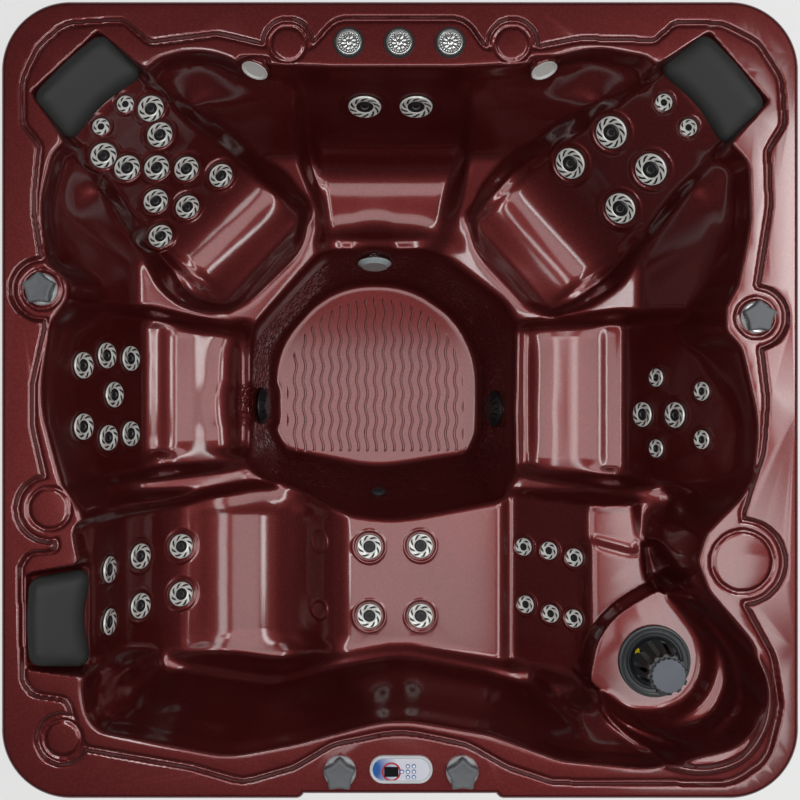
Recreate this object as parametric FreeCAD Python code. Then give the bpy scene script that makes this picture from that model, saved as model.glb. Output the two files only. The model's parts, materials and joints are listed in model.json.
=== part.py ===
"""Square hot tub: moulded shell, jets, controls, filter, cabinet and equipment.

Millimetres, +Z up. The origin is on the floor, under the middle of the tub. The
front, with the control panel, faces -Y. Left and right are as seen from above
with the front at the bottom.
"""
import FreeCAD, Part
import math
import os

from FreeCAD import Vector

# Overall sizes
tub_width = 2134.0
tub_length = 2134.0
tub_height = 900.0
corner_radius = 185.0

# Shell
shell_wall = 8.0
deck_thickness = 24.0
deck_step = 8.0
lip_depth = 55.0
lip_wall = 10.0
groove_width = 9.0
groove_depth = 5.0
pod_setback = 13.0
basin_floor = 770.0
ridge_height = 560.0
footwell_edge = 440.0
footwell_flare = 12.0
footwell_floor = 105.0
seat_height = 420.0
rear_seat_height = 440.0
corner_seat_height = 390.0
lounge_height = 395.0
lounge_knee_height = 488.0
lounge_back_radius = 380.0
filter_shelf_height = 690.0
filter_terrace_height = 735.0
pedestal_height = 610.0
tray_depth = 14.0
pillow_bed_drop = 92.0
pillow_bed_lip = 27.0
basin_ledge = 3.0
bay_flare = 22.0

# How far the foot of the basin's wall is drawn in from the opening
bottom_share_x = 0.972
bottom_share_y = 0.985
bottom_shift = 20.0

# Jets: radius of the trim face and how many slots it has
jet_sizes = {
    "neck": (25.0, 6),
    "small": (28.0, 6),
    "medium": (39.0, 8),
    "large": (49.0, 10),
}
jet_face_height = 7.0
jet_body_share = 0.62
slot_start_share = 0.64
slot_length_share = 0.17
jet_body_wall = 3.0
jet_body_depth = 52.0
jet_tail = 20.0
nut_height = 10.0
nut_rim = 0.22

# Running and seating clearances
seat_gap = 0.3
run_gap = 0.4

# Smallest arc that an offset leaves at a rounded corner
smallest_arc = 1.0

# Most of a side that the two corner arcs on it may take up
longest_corner_share = 0.98

# Pillows
pillow_width = 250.0
pillow_depth = 164.0
pillow_thickness = 48.0
lounge_pillow_depth = 172.0
pillow_overhang = 23.0
pin_radius = 6.0
pin_length = 34.0

# Knobs and valves
knob_radius = 46.0
knob_dip = 0.56 * knob_radius
knob_height = 24.0
collar_radius = 43.0
collar_height = 12.0
stem_radius = 8.0
valve_radius = 27.0
valve_depth = 66.0
rear_cap_radius = 35.0
rear_cap_height = 9.0
rear_ring_width = 5.5

# Control panel
panel_length = 168.0
panel_width = 74.0
panel_plate = 5.0
panel_depth = 30.0
button_radius = 5.4
button_rise = 1.6
display_length = 38.0
display_width = 27.0

# Filter
filter_x = 729.0
filter_y = -748.0
canister_radius = 86.0
canister_wall = 4.0
canister_depth = 306.0
flange_width = 17.0
flange_height = 9.0
cage_radius = 66.0
cage_top_radius = 44.0
cage_height = 148.0
cage_skirt = 90.0
cage_slots = 10
cap_height = 12.0
cartridge_radius = 68.0
cartridge_height = 120.0
cartridge_pleats = 24

# Footwell fittings
suction_radius = 60.0
suction_height = 20.0
light_radius = 54.0
drain_radius = 24.0
pipe_radius = 24.0
pipe_wall = 3.0

# Spouts
spout_radius = 42.0
spout_lens_radius = 36.0
spout_reach = 46.0

# Cabinet and frame
cabinet_inset = pod_setback + lip_wall + 1.0
panel_thickness = 16.0
panel_lift = 8.0
panel_top = 30.0
plank_width = 118.0
plank_groove = 8.0
plank_groove_depth = 4.0
post_radius = 165.0
rear_share = 0.62
base_thickness = 12.0
base_upstand = 34.0
base_wall = 6.0
rail_height = 40.0
rail_thickness = 22.0
stud_width = 60.0
screw_radius = 3.0
screw_head_radius = 7.0
screw_head_height = 2.5

# Equipment
motor_radius = 80.0
motor_length = 240.0
wet_end_radius = 92.0
wet_end_length = 84.0
pump_axis_height = 130.0
heater_radius = 38.0
heater_length = 340.0
control_box_size = (360.0, 110.0, 260.0)

os.makedirs("parts", exist_ok=True)

left = -tub_width / 2
right = tub_width / 2
front = -tub_length / 2
rear = tub_length / 2
above = tub_height + 30.0
seat_top = above + 20.0
bay_top = above + 10.0


def grown(points, distance):
    """Moves every side and corner arc of a counter-clockwise outline outwards."""
    out = []
    count = len(points)
    for i, (x, y, r) in enumerate(points):
        ax, ay, _ = points[i - 1]
        bx, by, _ = points[(i + 1) % count]
        inx, iny = x - ax, y - ay
        outx, outy = bx - x, by - y
        la, lb = math.hypot(inx, iny), math.hypot(outx, outy)
        nax, nay = iny / la, -inx / la
        nbx, nby = outy / lb, -outx / lb
        scale = distance / (1 + nax * nbx + nay * nby)
        bulge = distance if inx * outy - iny * outx > 0 else -distance
        radius = max(r + bulge, smallest_arc) if r > 0 else 0
        out.append((x + (nax + nbx) * scale, y + (nay + nby) * scale, radius))
    return out


def flip(points):
    """Outline in counter-clockwise order."""
    area = sum(
        points[i - 1][0] * points[i][1] - points[i][0] * points[i - 1][1] for i in range(len(points))
    )
    return points if area > 0 else points[::-1]


def corner_arcs(points):
    """Start, middle and end of the arc at each corner, kept clear of its neighbours."""
    count = len(points)
    halves, runs, sides = [], [], []
    for i, (x, y, r) in enumerate(points):
        ax, ay, _ = points[i - 1]
        bx, by, _ = points[(i + 1) % count]
        back, ahead = math.hypot(ax - x, ay - y), math.hypot(bx - x, by - y)
        cosine = ((ax - x) * (bx - x) + (ay - y) * (by - y)) / (back * ahead)
        half = math.acos(max(-1.0, min(1.0, cosine))) / 2
        halves.append(half)
        runs.append(r / math.tan(half))
        sides.append(ahead)
    shares = [1.0] * count
    for i in range(count):
        j = (i + 1) % count
        need = runs[i] + runs[j]
        if need > longest_corner_share * sides[i]:
            share = longest_corner_share * sides[i] / need
            shares[i] = min(shares[i], share)
            shares[j] = min(shares[j], share)
    arcs = []
    for i, (x, y, r) in enumerate(points):
        ax, ay, _ = points[i - 1]
        bx, by, _ = points[(i + 1) % count]
        ux, uy = (ax - x) / sides[i - 1], (ay - y) / sides[i - 1]
        vx, vy = (bx - x) / sides[i], (by - y) / sides[i]
        run = runs[i] * shares[i]
        radius = run * math.tan(halves[i])
        deep = radius / math.sin(halves[i]) - radius
        size = math.hypot(ux + vx, uy + vy)
        middle = (x + (ux + vx) / size * deep, y + (uy + vy) / size * deep)
        arcs.append(((x + ux * run, y + uy * run), middle, (x + vx * run, y + vy * run)))
    return arcs


def rounded_wire(points, place):
    """Closed wire of lines and corner arcs. place turns (a, b) into a Vector."""
    arcs = corner_arcs(points)
    edges = []
    for i, (start, middle, end) in enumerate(arcs):
        ahead = arcs[(i + 1) % len(arcs)][0]
        if points[i][2] > 0:
            edges.append(Part.Arc(place(*start), place(*middle), place(*end)).toShape())
        edges.append(Part.LineSegment(place(*end), place(*ahead)).toShape())
    return Part.Wire(edges)


def flat_wire(points, z):
    return rounded_wire(points, lambda x, y: Vector(x, y, z))


def slab(points, low, high):
    """Straight prism over an outline."""
    return Part.Face(flat_wire(points, low)).extrude(Vector(0, 0, high - low))


def loft(*sections):
    """Ruled solid through (outline, z) sections."""
    return Part.makeLoft([flat_wire(points, z) for points, z in sections], True, True)


def cylinder(radius, base, top):
    """Round solid from one point to another."""
    return Part.makeCylinder(radius, (top - base).Length, base, top - base)


def turned(shape, degrees, x, y):
    """Copy of shape turned about +Z, then moved."""
    out = shape.copy()
    out.rotate(Vector(0, 0, 0), Vector(0, 0, 1), degrees)
    out.translate(Vector(x, y, 0))
    return out


def seat_pocket(profile, plan, flare, wall):
    """Hollow with a side profile (outwards, z) inside a plan outline (outwards, sideways)."""
    width = max(abs(q) for _, q, _ in plan) * 2 + 400
    face = Part.Face(rounded_wire(grown(profile, wall), lambda s, z: Vector(s, -width, z)))
    low = min(z for _, z, _ in profile) - 2 * wall - 30
    sides = loft((grown(plan, wall), low), (grown(plan, wall + flare), above + 60))
    return face.extrude(Vector(0, 2 * width, 0)).common(sides)


# Rim opening, counter-clockwise from the front left corner
opening = [
    (left + 237, front + 183, 70),
    (left + 612, front + 111, 300),
    (-267, front + 148, 200),
    (0, front + 218, 350),
    (270, front + 170, 200),
    (457, front + 100, 200),
    (right - 382, front + 79, 200),
    (right - 121, front + 140, 120),
    (right - 68, front + 285, 150),
    (right - 108, front + 406, 150),
    (right - 229, front + 548, 80),
    (right - 262, front + 634, 60),
    (right - 234, front + 712, 80),
    (right - 108, front + 838, 150),
    (right - 95, -58, 400),
    (right - 140, 138, 60),
    (right - 183, 185, 40),
    (right - 183, 252, 40),
    (right - 150, 312, 60),
    (right - 116, 480, 300),
    (right - 121, rear - 427, 60),
    (right - 390, rear - 146, 60),
    (538, rear - 121, 200),
    (377, rear - 164, 120),
    (176, rear - 175, 120),
    (-173, rear - 175, 120),
    (-428, rear - 164, 120),
    (-535, rear - 119, 200),
    (left + 422, rear - 152, 60),
    (left + 140, rear - 402, 60),
    (left + 105, 532, 300),
    (left + 121, 377, 60),
    (left + 181, 330, 40),
    (left + 181, 270, 40),
    (left + 130, 200, 60),
    (left + 105, -4, 400),
    (left + 167, -229, 60),
    (left + 221, -304, 40),
    (left + 248, -449, 20),
    (left + 248, -688, 20),
    (left + 221, -782, 60),
]


def basin_bottom():
    """Outline at the foot of the upper wall, drawn in from the opening."""
    return [(bottom_share_x * x - bottom_shift, bottom_share_y * y, r) for x, y, r in opening]


def basin(wall):
    return loft((grown(basin_bottom(), wall), basin_floor - wall), (grown(opening, wall), above))


footwell_top = [
    (-216, 478, 40),
    (-474, 185, 60),
    (-478, -200, 50),
    (-400, -262, 60),
    (-60, -366, 500),
    (322, -298, 50),
    (368, -230, 40),
    (374, 225, 40),
    (330, 290, 40),
    (95, 478, 40),
]
footwell_bottom = [
    (-232, 403, 350),
    (-441, 194, 350),
    (-438, -100, 60),
    (-400, -178, 60),
    (-84, -240, 500),
    (235, -190, 60),
    (270, -110, 60),
    (273, 142, 350),
    (177, 307, 350),
    (12, 403, 350),
]


def footwell(wall):
    return loft(
        (grown(footwell_bottom, wall), footwell_floor - wall),
        (grown(footwell_top, wall), footwell_edge + footwell_flare),
        (grown(footwell_top, wall + 3), lounge_knee_height + 22),
    )


def funnel(wall):
    """Sloping ground between the seats, from the basin down to the footwell."""
    high = [
        (left + 137, -296, 30),
        (330, -292, 40),
        (right - 165, -306, 30),
        (right - 165, 560, 200),
        (600, rear - 200, 200),
        (-600, rear - 200, 200),
        (left + 137, 560, 200),
    ]
    middle = [
        (left + 277, -290, 30),
        (330, -288, 40),
        (right - 347, -300, 30),
        (right - 347, 430, 150),
        (400, rear - 335, 150),
        (-490, rear - 335, 150),
        (left + 277, 430, 150),
    ]
    low = [
        (-470, -285, 30),
        (300, -285, 20),
        (366, -290, 20),
        (366, 245, 60),
        (105, 485, 60),
        (-215, 485, 60),
        (-470, 200, 60),
    ]
    return loft(
        (grown(low, wall), footwell_edge - wall),
        (grown(middle, wall), ridge_height - wall),
        (grown(high, wall), basin_floor + 16),
    )


# Straight back of each seat in its own side view, from the pan up: (outwards, z)
left_back = ((-left - 299, seat_height), (-left - 123, basin_floor + 15))
right_back = ((right - 383, seat_height), (right - 153, basin_floor + 15))
rear_back = ((rear - 328, rear_seat_height), (rear - 187, basin_floor + 20))
rear_seat_x = -48.0
pillow_bed_edge = -62.0
pillow_bed_end = 68.0
corner_left = (660.0, 132.7, left + 215, rear - 212)
corner_right = (726.0, 40.6, right - 212, rear - 218)


def corner_back(reach):
    return ((-reach + 250, corner_seat_height), (pillow_bed_edge, tub_height - pillow_bed_drop))


def left_seat(wall):
    back = -left
    profile = [
        (400, seat_top, 0),
        (400, seat_height + 14, 5),
        (*left_back[0], 100),
        (*left_back[1], 60),
        (back - 112, seat_top, 0),
    ]
    plan = [
        (410, -192, 20),
        (back - 307, -262, 60),
        (back - 100, -262, 30),
        (back - 100, 248, 30),
        (back - 307, 222, 60),
        (410, 196, 20),
    ]
    return turned(seat_pocket(flip(profile), flip(plan), 12, wall), 180, 0, 0)


def right_seat(wall):
    profile = [
        (300, seat_top, 0),
        (300, seat_height + 14, 5),
        (*right_back[0], 90),
        (*right_back[1], 80),
        (right - 109, seat_top, 0),
    ]
    plan = [
        (330, -226, 20),
        (right - 407, -252, 60),
        (right - 97, -240, 30),
        (right - 97, 236, 30),
        (right - 407, 252, 60),
        (330, 228, 20),
    ]
    return seat_pocket(flip(profile), flip(plan), 12, wall)


def rear_seat(wall):
    profile = [
        (430, seat_top, 0),
        (430, rear_seat_height + 10, 5),
        (*rear_back[0], 120),
        (*rear_back[1], 60),
        (rear - 171, seat_top, 0),
    ]
    plan = [
        (440, -140, 20),
        (rear - 332, -245, 60),
        (rear - 150, -215, 40),
        (rear - 150, 215, 40),
        (rear - 332, 245, 60),
        (440, 140, 20),
    ]
    return turned(seat_pocket(flip(profile), flip(plan), 12, wall), 90, rear_seat_x, 0)


def corner_seat(reach, degrees, x, y, wall):
    """Bowl seat whose back runs up to a pillow at (x, y)."""
    profile = [
        (-reach - 30, seat_top, 0),
        (-reach - 30, corner_seat_height + 80, 5),
        (-reach + 110, corner_seat_height + 4, 200),
        (*corner_back(reach)[0], 160),
        (*corner_back(reach)[1], 25),
        (pillow_bed_end, tub_height - pillow_bed_lip, 5),
        (pillow_bed_end, seat_top, 0),
    ]
    plan = [
        (pillow_bed_end + 15, -104, 30),
        (pillow_bed_edge, -122, 60),
        (-200, -152, 100),
        (-470, -236, 150),
        (-reach, -208, 190),
        (-reach, 208, 190),
        (-470, 236, 150),
        (-200, 152, 100),
        (pillow_bed_edge, 122, 60),
        (pillow_bed_end + 15, 104, 30),
    ]
    return turned(seat_pocket(flip(profile), flip(plan), 15, wall), degrees, x, y)


lounge_bed_start = (left + 66, tub_height - 22)
lounge_bed_edge = (left + 227, tub_height - 100)
lounge_legs = ((-195, lounge_knee_height), (322, lounge_knee_height - 16))
lounge_foot = ((334, lounge_knee_height - 44), (556, pedestal_height - 18))


def lounge(wall):
    profile = [
        (lounge_bed_start[0], seat_top, 0),
        (*lounge_bed_start, 5),
        (*lounge_bed_edge, 5),
        (lounge_bed_edge[0], lounge_height, lounge_back_radius),
        (-320, lounge_height, 150),
        (*lounge_legs[0], 120),
        (*lounge_legs[1], 6),
        (*lounge_foot[0], 15),
        (*lounge_foot[1], 30),
        (lounge_foot[1][0], seat_top, 0),
    ]
    plan = [
        (left + 54, -708, 30),
        (left + 222, -728, 60),
        (-660, -790, 100),
        (-368, -832, 200),
        (-214, -786, 100),
        (0, -752, 300),
        (335, -812, 150),
        (575, -838, 20),
        (575, -288, 20),
        (366, -280, 20),
        (150, -305, 150),
        (-60, -330, 300),
        (-190, -304, 120),
        (-320, -258, 40),
        (-470, -268, 60),
        (left + 200, -338, 30),
        (left + 222, -452, 30),
        (left + 54, -480, 30),
    ]
    return seat_pocket(flip(profile), flip(plan), 10, wall)


def lounge_bay(wall):
    """Space over the lounge, with the wavy front wall."""
    low = [
        (-760, -852, 60),
        (-640, -832, 100),
        (-368, -872, 200),
        (-214, -826, 150),
        (0, -790, 300),
        (250, -838, 150),
        (340, -862, 60),
        (400, -866, 20),
        (400, -300, 20),
        (330, -255, 20),
        (-330, -255, 20),
        (-380, -300, 20),
        (-600, -300, 20),
    ]
    high = [
        (left + 231, -880, 80),
        (-700, -916, 100),
        (-455, -955, 200),
        (-265, -918, 150),
        (0, -847, 300),
        (270, -896, 150),
        (455, -964, 100),
        (610, -982, 20),
        (610, -310, 20),
        (330, -255, 20),
        (-330, -255, 20),
        (-400, -310, 20),
        (left + 240, -310, 20),
    ]
    return loft((grown(low, wall), lounge_knee_height + 14 - wall), (grown(high, wall), bay_top))


def pedestal(wall):
    outline = [
        (430, -880, 20),
        (560, -860, 20),
        (585, -720, 100),
        (650, -640, 100),
        (740, -560, 60),
        (776, -288, 30),
        (500, -288, 20),
    ]
    return loft((grown(outline, wall), pedestal_height - wall), (grown(outline, wall + 8), bay_top + 5))


def pedestal_tray(wall):
    outline = [(520, -400, 60), (575, -418, 60), (700, -452, 20), (758, -314, 8), (500, -312, 8)]
    return loft(
        (grown(outline, wall), pedestal_height - tray_depth - wall),
        (grown(outline, wall + 2), pedestal_height + 20),
    )


def filter_bay(wall):
    """Teardrop shelf with one curved terrace above it."""
    shelf = [
        (538, -806, 12),
        (640, -895, 140),
        (850, -890, 150),
        (880, -700, 160),
        (752, -524, 12),
        (590, -650, 150),
    ]
    terrace = [
        (545, -835, 20),
        (690, -930, 150),
        (870, -915, 130),
        (945, -765, 150),
        (860, -600, 150),
        (752, -530, 12),
        (585, -672, 80),
    ]
    return [
        loft(
            (grown(shelf, wall), filter_shelf_height - wall),
            (grown(shelf, wall + bay_flare), filter_terrace_height + 4),
        ),
        loft(
            (grown(terrace, wall), filter_terrace_height - wall),
            (grown(terrace, wall + bay_flare), basin_floor + 8),
        ),
    ]


def trench(wall):
    """Gap between the pedestal and the right wall."""
    low = [(700, -250, 20), (742, -545, 20), (835, -530, 40), (800, -250, 40)]
    high = [(690, -250, 20), (735, -545, 20), (865, -520, 40), (900, -250, 40)]
    return loft(
        (grown(flip(low), wall), ridge_height - wall),
        (grown(flip(high), wall), basin_floor + 20),
    )


def hollows(wall):
    """Every hollow of the shell, each grown by wall."""
    seats = [funnel(wall), left_seat(wall), right_seat(wall), rear_seat(wall), trench(wall)]
    low = joined(seats + filter_bay(wall))
    foot = slab(grown(basin_bottom(), wall - basin_ledge), footwell_floor, basin_floor + 12)
    return [
        basin(wall),
        low.common(foot),
        footwell(wall),
        corner_seat(*corner_left, wall),
        corner_seat(*corner_right, wall),
        lounge(wall),
        lounge_bay(wall),
        pedestal(wall),
        pedestal_tray(wall),
    ]


def joined(shapes):
    return shapes[0].multiFuse(shapes[1:])


# Deck rings and pods: x, y, radius of the flat, radius of the groove line round it
rear_rings = [(-301, rear - 113, 43, 62), (301, rear - 113, 43, 62)]
left_ring = (left + 128, -291, 52, 85)
corner_ring = (left + 163, front + 160, 45, 64)
cup_ring = (right - 150, front + 634, 78, 110)
left_pod = (left + 109, 296, 48, 80)
right_pod = (right - 113, 221, 48, 80)
deck_circles = rear_rings + [left_ring, corner_ring, cup_ring, left_pod, right_pod]

# Line of the step in the deck, counter-clockwise from the front left corner
deck_line = [
    (left + 224, front + 136, 25),
    (-557, front + 87, 150),
    (-421, front + 47, 120),
    (-285, front + 87, 80),
    (-180, front + 149, 120),
    (0, front + 186, 300),
    (180, front + 149, 120),
    (290, front + 87, 80),
    (410, front + 47, 100),
    (right - 178, front + 42, 110),
    (right - 85, front + 105, 100),
    (right - 50, front + 245, 150),
    (right - 71, front + 381, 100),
    (right - 146, front + 518, 40),
    (right - 152, front + 764, 40),
    (right - 98, -140, 200),
    (right - 87, 0, 200),
    (right - 103, 132, 100),
    (right - 111, 314, 60),
    (right - 79, 520, 200),
    (right - 85, rear - 397, 30),
    (right - 42, rear - 328, 40),
    (right - 50, rear - 208, 80),
    (right - 111, rear - 111, 80),
    (right - 208, rear - 63, 80),
    (right - 331, rear - 61, 40),
    (right - 384, rear - 109, 30),
    (480, rear - 103, 200),
    (370, rear - 125, 50),
    (226, rear - 125, 30),
    (172, rear - 50, 60),
    (-172, rear - 50, 60),
    (-239, rear - 125, 30),
    (-373, rear - 117, 50),
    (-488, rear - 90, 100),
    (left + 395, rear - 114, 40),
    (left + 325, rear - 53, 40),
    (left + 170, rear - 63, 80),
    (left + 101, rear - 125, 60),
    (left + 61, rear - 208, 60),
    (left + 61, rear - 328, 40),
    (left + 106, rear - 384, 40),
    (left + 90, 520, 200),
    (left + 111, 384, 60),
    (left + 120, 191, 50),
    (left + 87, 41, 100),
    (left + 87, -71, 150),
    (left + 122, -223, 60),
    (left + 146, -373, 30),
    (left + 157, -405, 20),
    (left + 74, -413, 30),
    (left + 53, -448, 30),
    (left + 61, -755, 30),
    (left + 87, -787, 30),
    (left + 176, -800, 30),
]


def deck_area(extra, low, high):
    """Prism over the lower inner deck, with its line moved out by extra."""
    pieces = [slab(grown(deck_line, extra), low, high)]
    for x, y, _, radius in deck_circles:
        pieces.append(cylinder(radius + extra, Vector(x, y, low), Vector(x, y, high)))
    return joined(pieces)


def tub_outline(inset):
    """Rounded square with the front edge set back across the control pod."""
    back = front + inset
    half = 262 - inset
    return [
        (left + inset, back, corner_radius - inset),
        (-half - 14, back, 8),
        (-half, back + pod_setback, 8),
        (half, back + pod_setback, 8),
        (half + 14, back, 8),
        (right - inset, back, corner_radius - inset),
        (right - inset, rear - inset, corner_radius - inset),
        (left + inset, rear - inset, corner_radius - inset),
    ]


def ring_cut(x, y, radius, low):
    """Round groove just outside a flat disc on the deck."""
    base, top = Vector(x, y, low), Vector(x, y, tub_height + 5)
    return cylinder(radius + groove_width, base, top).cut(cylinder(radius, base, top))


# Jets by seat: height and distance sideways on the back
left_jets = [(705, -99), (617, -131), (522, -126), (588, -16), (705, 76), (611, 111), (522, 102)]
right_small_jets = [(556, 67), (705, 25), (705, -113), (556, -145)]
right_medium_jets = [(508, -44), (619, -44)]
rear_large_jets = [(696, 53), (696, -94)]
corner_left_neck_jets = [(784, -43), (784, 49)]
corner_left_jets = [
    (736, -87),
    (675, -56),
    (730, 101),
    (670, 78),
    (620, 16),
    (566, -46),
    (489, -109),
    (558, 87),
    (488, 31),
    (479, 153),
]
corner_right_neck_jets = [(770, 63), (775, -35)]
corner_right_large_jets = [(643, 103), (524, 120), (656, -54), (545, -82)]
# Lounge back: height and y. Legs and foot: x and y
lounge_back_jets = [(705, -484), (567, -466), (463, -451), (705, -633), (567, -614), (463, -598)]
lounge_leg_jets = [(-94, -449), (63, -447), (-94, -661), (63, -662)]
lounge_foot_jets = [(381, -451), (452, -456), (521, -470), (387, -627), (457, -646), (520, -652)]


def back_point(line, height, sideways, degrees, x, y):
    """Point and normal on a seat back at a height."""
    (s0, z0), (s1, z1) = line
    size = math.hypot(s1 - s0, z1 - z0)
    s = s0 + (s1 - s0) * (height - z0) / (z1 - z0)
    turn = FreeCAD.Rotation(Vector(0, 0, 1), degrees)
    point = turn.multVec(Vector(s, sideways, 0)) + Vector(x, y, height)
    return point, turn.multVec(Vector((z0 - z1) / size, 0, (s1 - s0) / size))


def floor_point(line, x, y):
    """Point and normal on a sloping floor that runs along X."""
    (x0, z0), (x1, z1) = line
    size = math.hypot(x1 - x0, z1 - z0)
    point = Vector(x, y, z0 + (z1 - z0) * (x - x0) / (x1 - x0))
    return point, Vector((z0 - z1) / size, 0, (x1 - x0) / size)


def lounge_back_point(height, y):
    """Point and normal on the round lounge back."""
    cx, cz = lounge_bed_edge[0] + lounge_back_radius, lounge_height + lounge_back_radius
    up = cz - height
    across = math.sqrt(lounge_back_radius**2 - up**2)
    point = Vector(cx - across, y, height)
    return point, Vector(across / lounge_back_radius, 0, up / lounge_back_radius)


def jet_seats():
    """Every jet as kind, point, normal and how far a hollow wall holds it off."""
    seats = []
    left_place = (180, 0, 0)
    right_place = (0, 0, 0)
    rear_place = (90, rear_seat_x, 0)
    groups = [
        ("medium", left_jets, left_back, left_place),
        ("small", right_small_jets, right_back, right_place),
        ("medium", right_medium_jets, right_back, right_place),
        ("large", rear_large_jets, rear_back, rear_place),
        ("neck", corner_left_neck_jets, corner_back(corner_left[0]), corner_left[1:]),
        ("medium", corner_left_jets, corner_back(corner_left[0]), corner_left[1:]),
        ("neck", corner_right_neck_jets, corner_back(corner_right[0]), corner_right[1:]),
        ("large", corner_right_large_jets, corner_back(corner_right[0]), corner_right[1:]),
    ]
    for kind, jets, line, place in groups:
        for height, sideways in jets:
            seats.append((kind, *back_point(line, height, sideways, *place), 0))
    for height, y in lounge_back_jets:
        point, normal = lounge_back_point(height, y)
        radius = jet_sizes["medium"][0]
        lift = lounge_back_radius - math.sqrt(lounge_back_radius**2 - radius**2)
        seats.append(("medium", point, normal, lift))
    for x, y in lounge_leg_jets:
        seats.append(("medium", *floor_point(lounge_legs, x, y), 0))
    for x, y in lounge_foot_jets:
        seats.append(("small", *floor_point(lounge_foot, x, y), 0))
    return seats


def revolved(profile):
    """Solid of revolution about Z of a closed (radius, z) profile."""
    points = [Vector(r, 0, z) for r, z in profile]
    return Part.Face(Part.makePolygon(points + points[:1])).revolve(Vector(0, 0, 0), Vector(0, 0, 1), 360)


def placed(shape, point, normal):
    """Copy of shape with its +Z turned to normal and its origin at point."""
    out = shape.copy()
    place = FreeCAD.Placement(point, FreeCAD.Rotation(Vector(0, 0, 1), normal))
    out.Placement = place.multiply(shape.Placement)
    return out


def jet_body_radius(kind):
    """Outer radius of the body behind a jet's trim face."""
    return jet_body_share * jet_sizes[kind][0]


def jet_face(kind):
    """Trim ring with a dished middle, slots and a skirt that sits in the body."""
    radius, slots = jet_sizes[kind]
    outer = jet_body_radius(kind) - jet_body_wall - run_gap
    inner = outer - jet_body_wall
    low = seat_gap
    high = low + jet_face_height
    face = revolved([
        (inner, -14),
        (outer, -14),
        (outer, low),
        (radius, low),
        (radius, low + 2.5),
        (radius - 4, high),
        (0.74 * radius, high),
        (inner, low + 3),
    ])
    slot_wide = 0.2 * radius
    slot_corner = Vector(slot_start_share * radius, -slot_wide / 2, low + 2)
    slot = Part.makeBox(slot_length_share * radius, slot_wide, jet_face_height, slot_corner)
    cuts = []
    for i in range(slots):
        cuts.append(turned(slot, 360 * i / slots, 0, 0))
    return face.cut(joined(cuts))


def jet_nozzle(kind):
    """Hub in the middle of a jet, with its outlet."""
    radius = jet_body_radius(kind) - 2 * jet_body_wall - 2 * run_gap
    hole = 0.42 * radius
    return revolved([
        (hole, -12),
        (radius, -12),
        (radius, 2),
        (0.8 * radius, 5),
        (0.6 * radius, 5),
        (hole, 2),
    ])


def jet_body(kind):
    """Cup behind the shell, with a hose tail."""
    radius = jet_body_radius(kind)
    bore = radius - jet_body_wall
    end = -jet_body_depth
    return revolved([
        (0, end + 6),
        (bore, end + 6),
        (bore, -2),
        (radius, -2),
        (radius, end),
        (0.55 * radius, end),
        (0.5 * radius, end - jet_tail),
        (0, end - jet_tail),
    ])


def jet_nut(kind):
    """Six-sided lock nut behind the shell."""
    radius = jet_body_radius(kind)
    corner = (radius + nut_rim * jet_sizes[kind][0]) / math.cos(math.pi / 6)
    turns = [i * math.pi / 3 for i in range(6)]
    six = [Vector(corner * math.cos(turn), corner * math.sin(turn), 0) for turn in turns]
    nut = Part.Face(Part.makePolygon(six + six[:1])).extrude(Vector(0, 0, nut_height))
    bore = Part.makeCylinder(radius + run_gap, nut_height + 2, Vector(0, 0, -1))
    nut = nut.cut(bore)
    nut.translate(Vector(0, 0, -shell_wall - seat_gap - nut_height))
    return nut


def jet_hole(kind):
    radius = jet_body_radius(kind) + run_gap
    return Part.makeCylinder(radius, 40, Vector(0, 0, -30))


def make_shell():
    inner_deck = tub_height - deck_step
    deck_under = tub_height - deck_thickness
    rim = slab(tub_outline(0), tub_height - lip_depth, tub_height)
    rim = rim.cut(slab(tub_outline(lip_wall), tub_height - lip_depth - 5, deck_under))
    skin = joined(hollows(shell_wall))
    below = Part.makeBox(tub_width, tub_length, deck_under + 4, Vector(left, front, 0))
    shell = rim.fuse(skin.common(below)).cut(joined(hollows(0.0)))
    shell = shell.cut(deck_area(0, inner_deck, tub_height + 5))
    groove = deck_area(groove_width / 2, inner_deck - groove_depth, tub_height + 5)
    groove = groove.cut(deck_area(-groove_width / 2, inner_deck - groove_depth - 1, tub_height + 6))
    shell = shell.cut(groove)
    rings = [ring_cut(x, y, radius, inner_deck - groove_depth) for x, y, radius, _ in deck_circles]
    shell = shell.cut(joined(rings))
    for place in spout_places:
        shell = shell.fuse(spout_boss(*place)).cut(spout_bore(*place))
    holes = [placed(jet_hole(kind), point, normal) for kind, point, normal, _ in jet_seats()]
    return shell.cut(Part.Compound(holes + fitting_holes()))


# Spouts: middle of the lens and the way it points
spout_tilt = math.radians(19)
spout_turn = math.radians(16)
spout_places = []
for side, x in ((-1, -394), (1, 391)):
    aim = Vector(
        side * math.sin(spout_turn) * math.cos(spout_tilt),
        -math.cos(spout_turn) * math.cos(spout_tilt),
        math.sin(spout_tilt),
    )
    spout_places.append((Vector(x, rear - 174, tub_height - 44), aim))


def spout_boss(middle, aim):
    """Stub that leans out of the rear wall."""
    return cylinder(spout_radius, middle - aim * spout_reach, middle)


def spout_bore(middle, aim):
    seat = cylinder(spout_lens_radius + seat_gap, middle - aim * 6, middle + aim * 20)
    bore = cylinder(spout_lens_radius - 6, middle - aim * (spout_reach + 40), middle)
    return seat.fuse(bore)


def spout_lens(middle, aim):
    """Dished lens in the end of a spout."""
    rim = spout_lens_radius
    lens = revolved([(0, -5.7), (rim, -5.7), (rim, 1.5), (rim - 4, 1.5), (rim - 8, -2.5), (0, -2.5)])
    return placed(lens, middle, aim)


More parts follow.
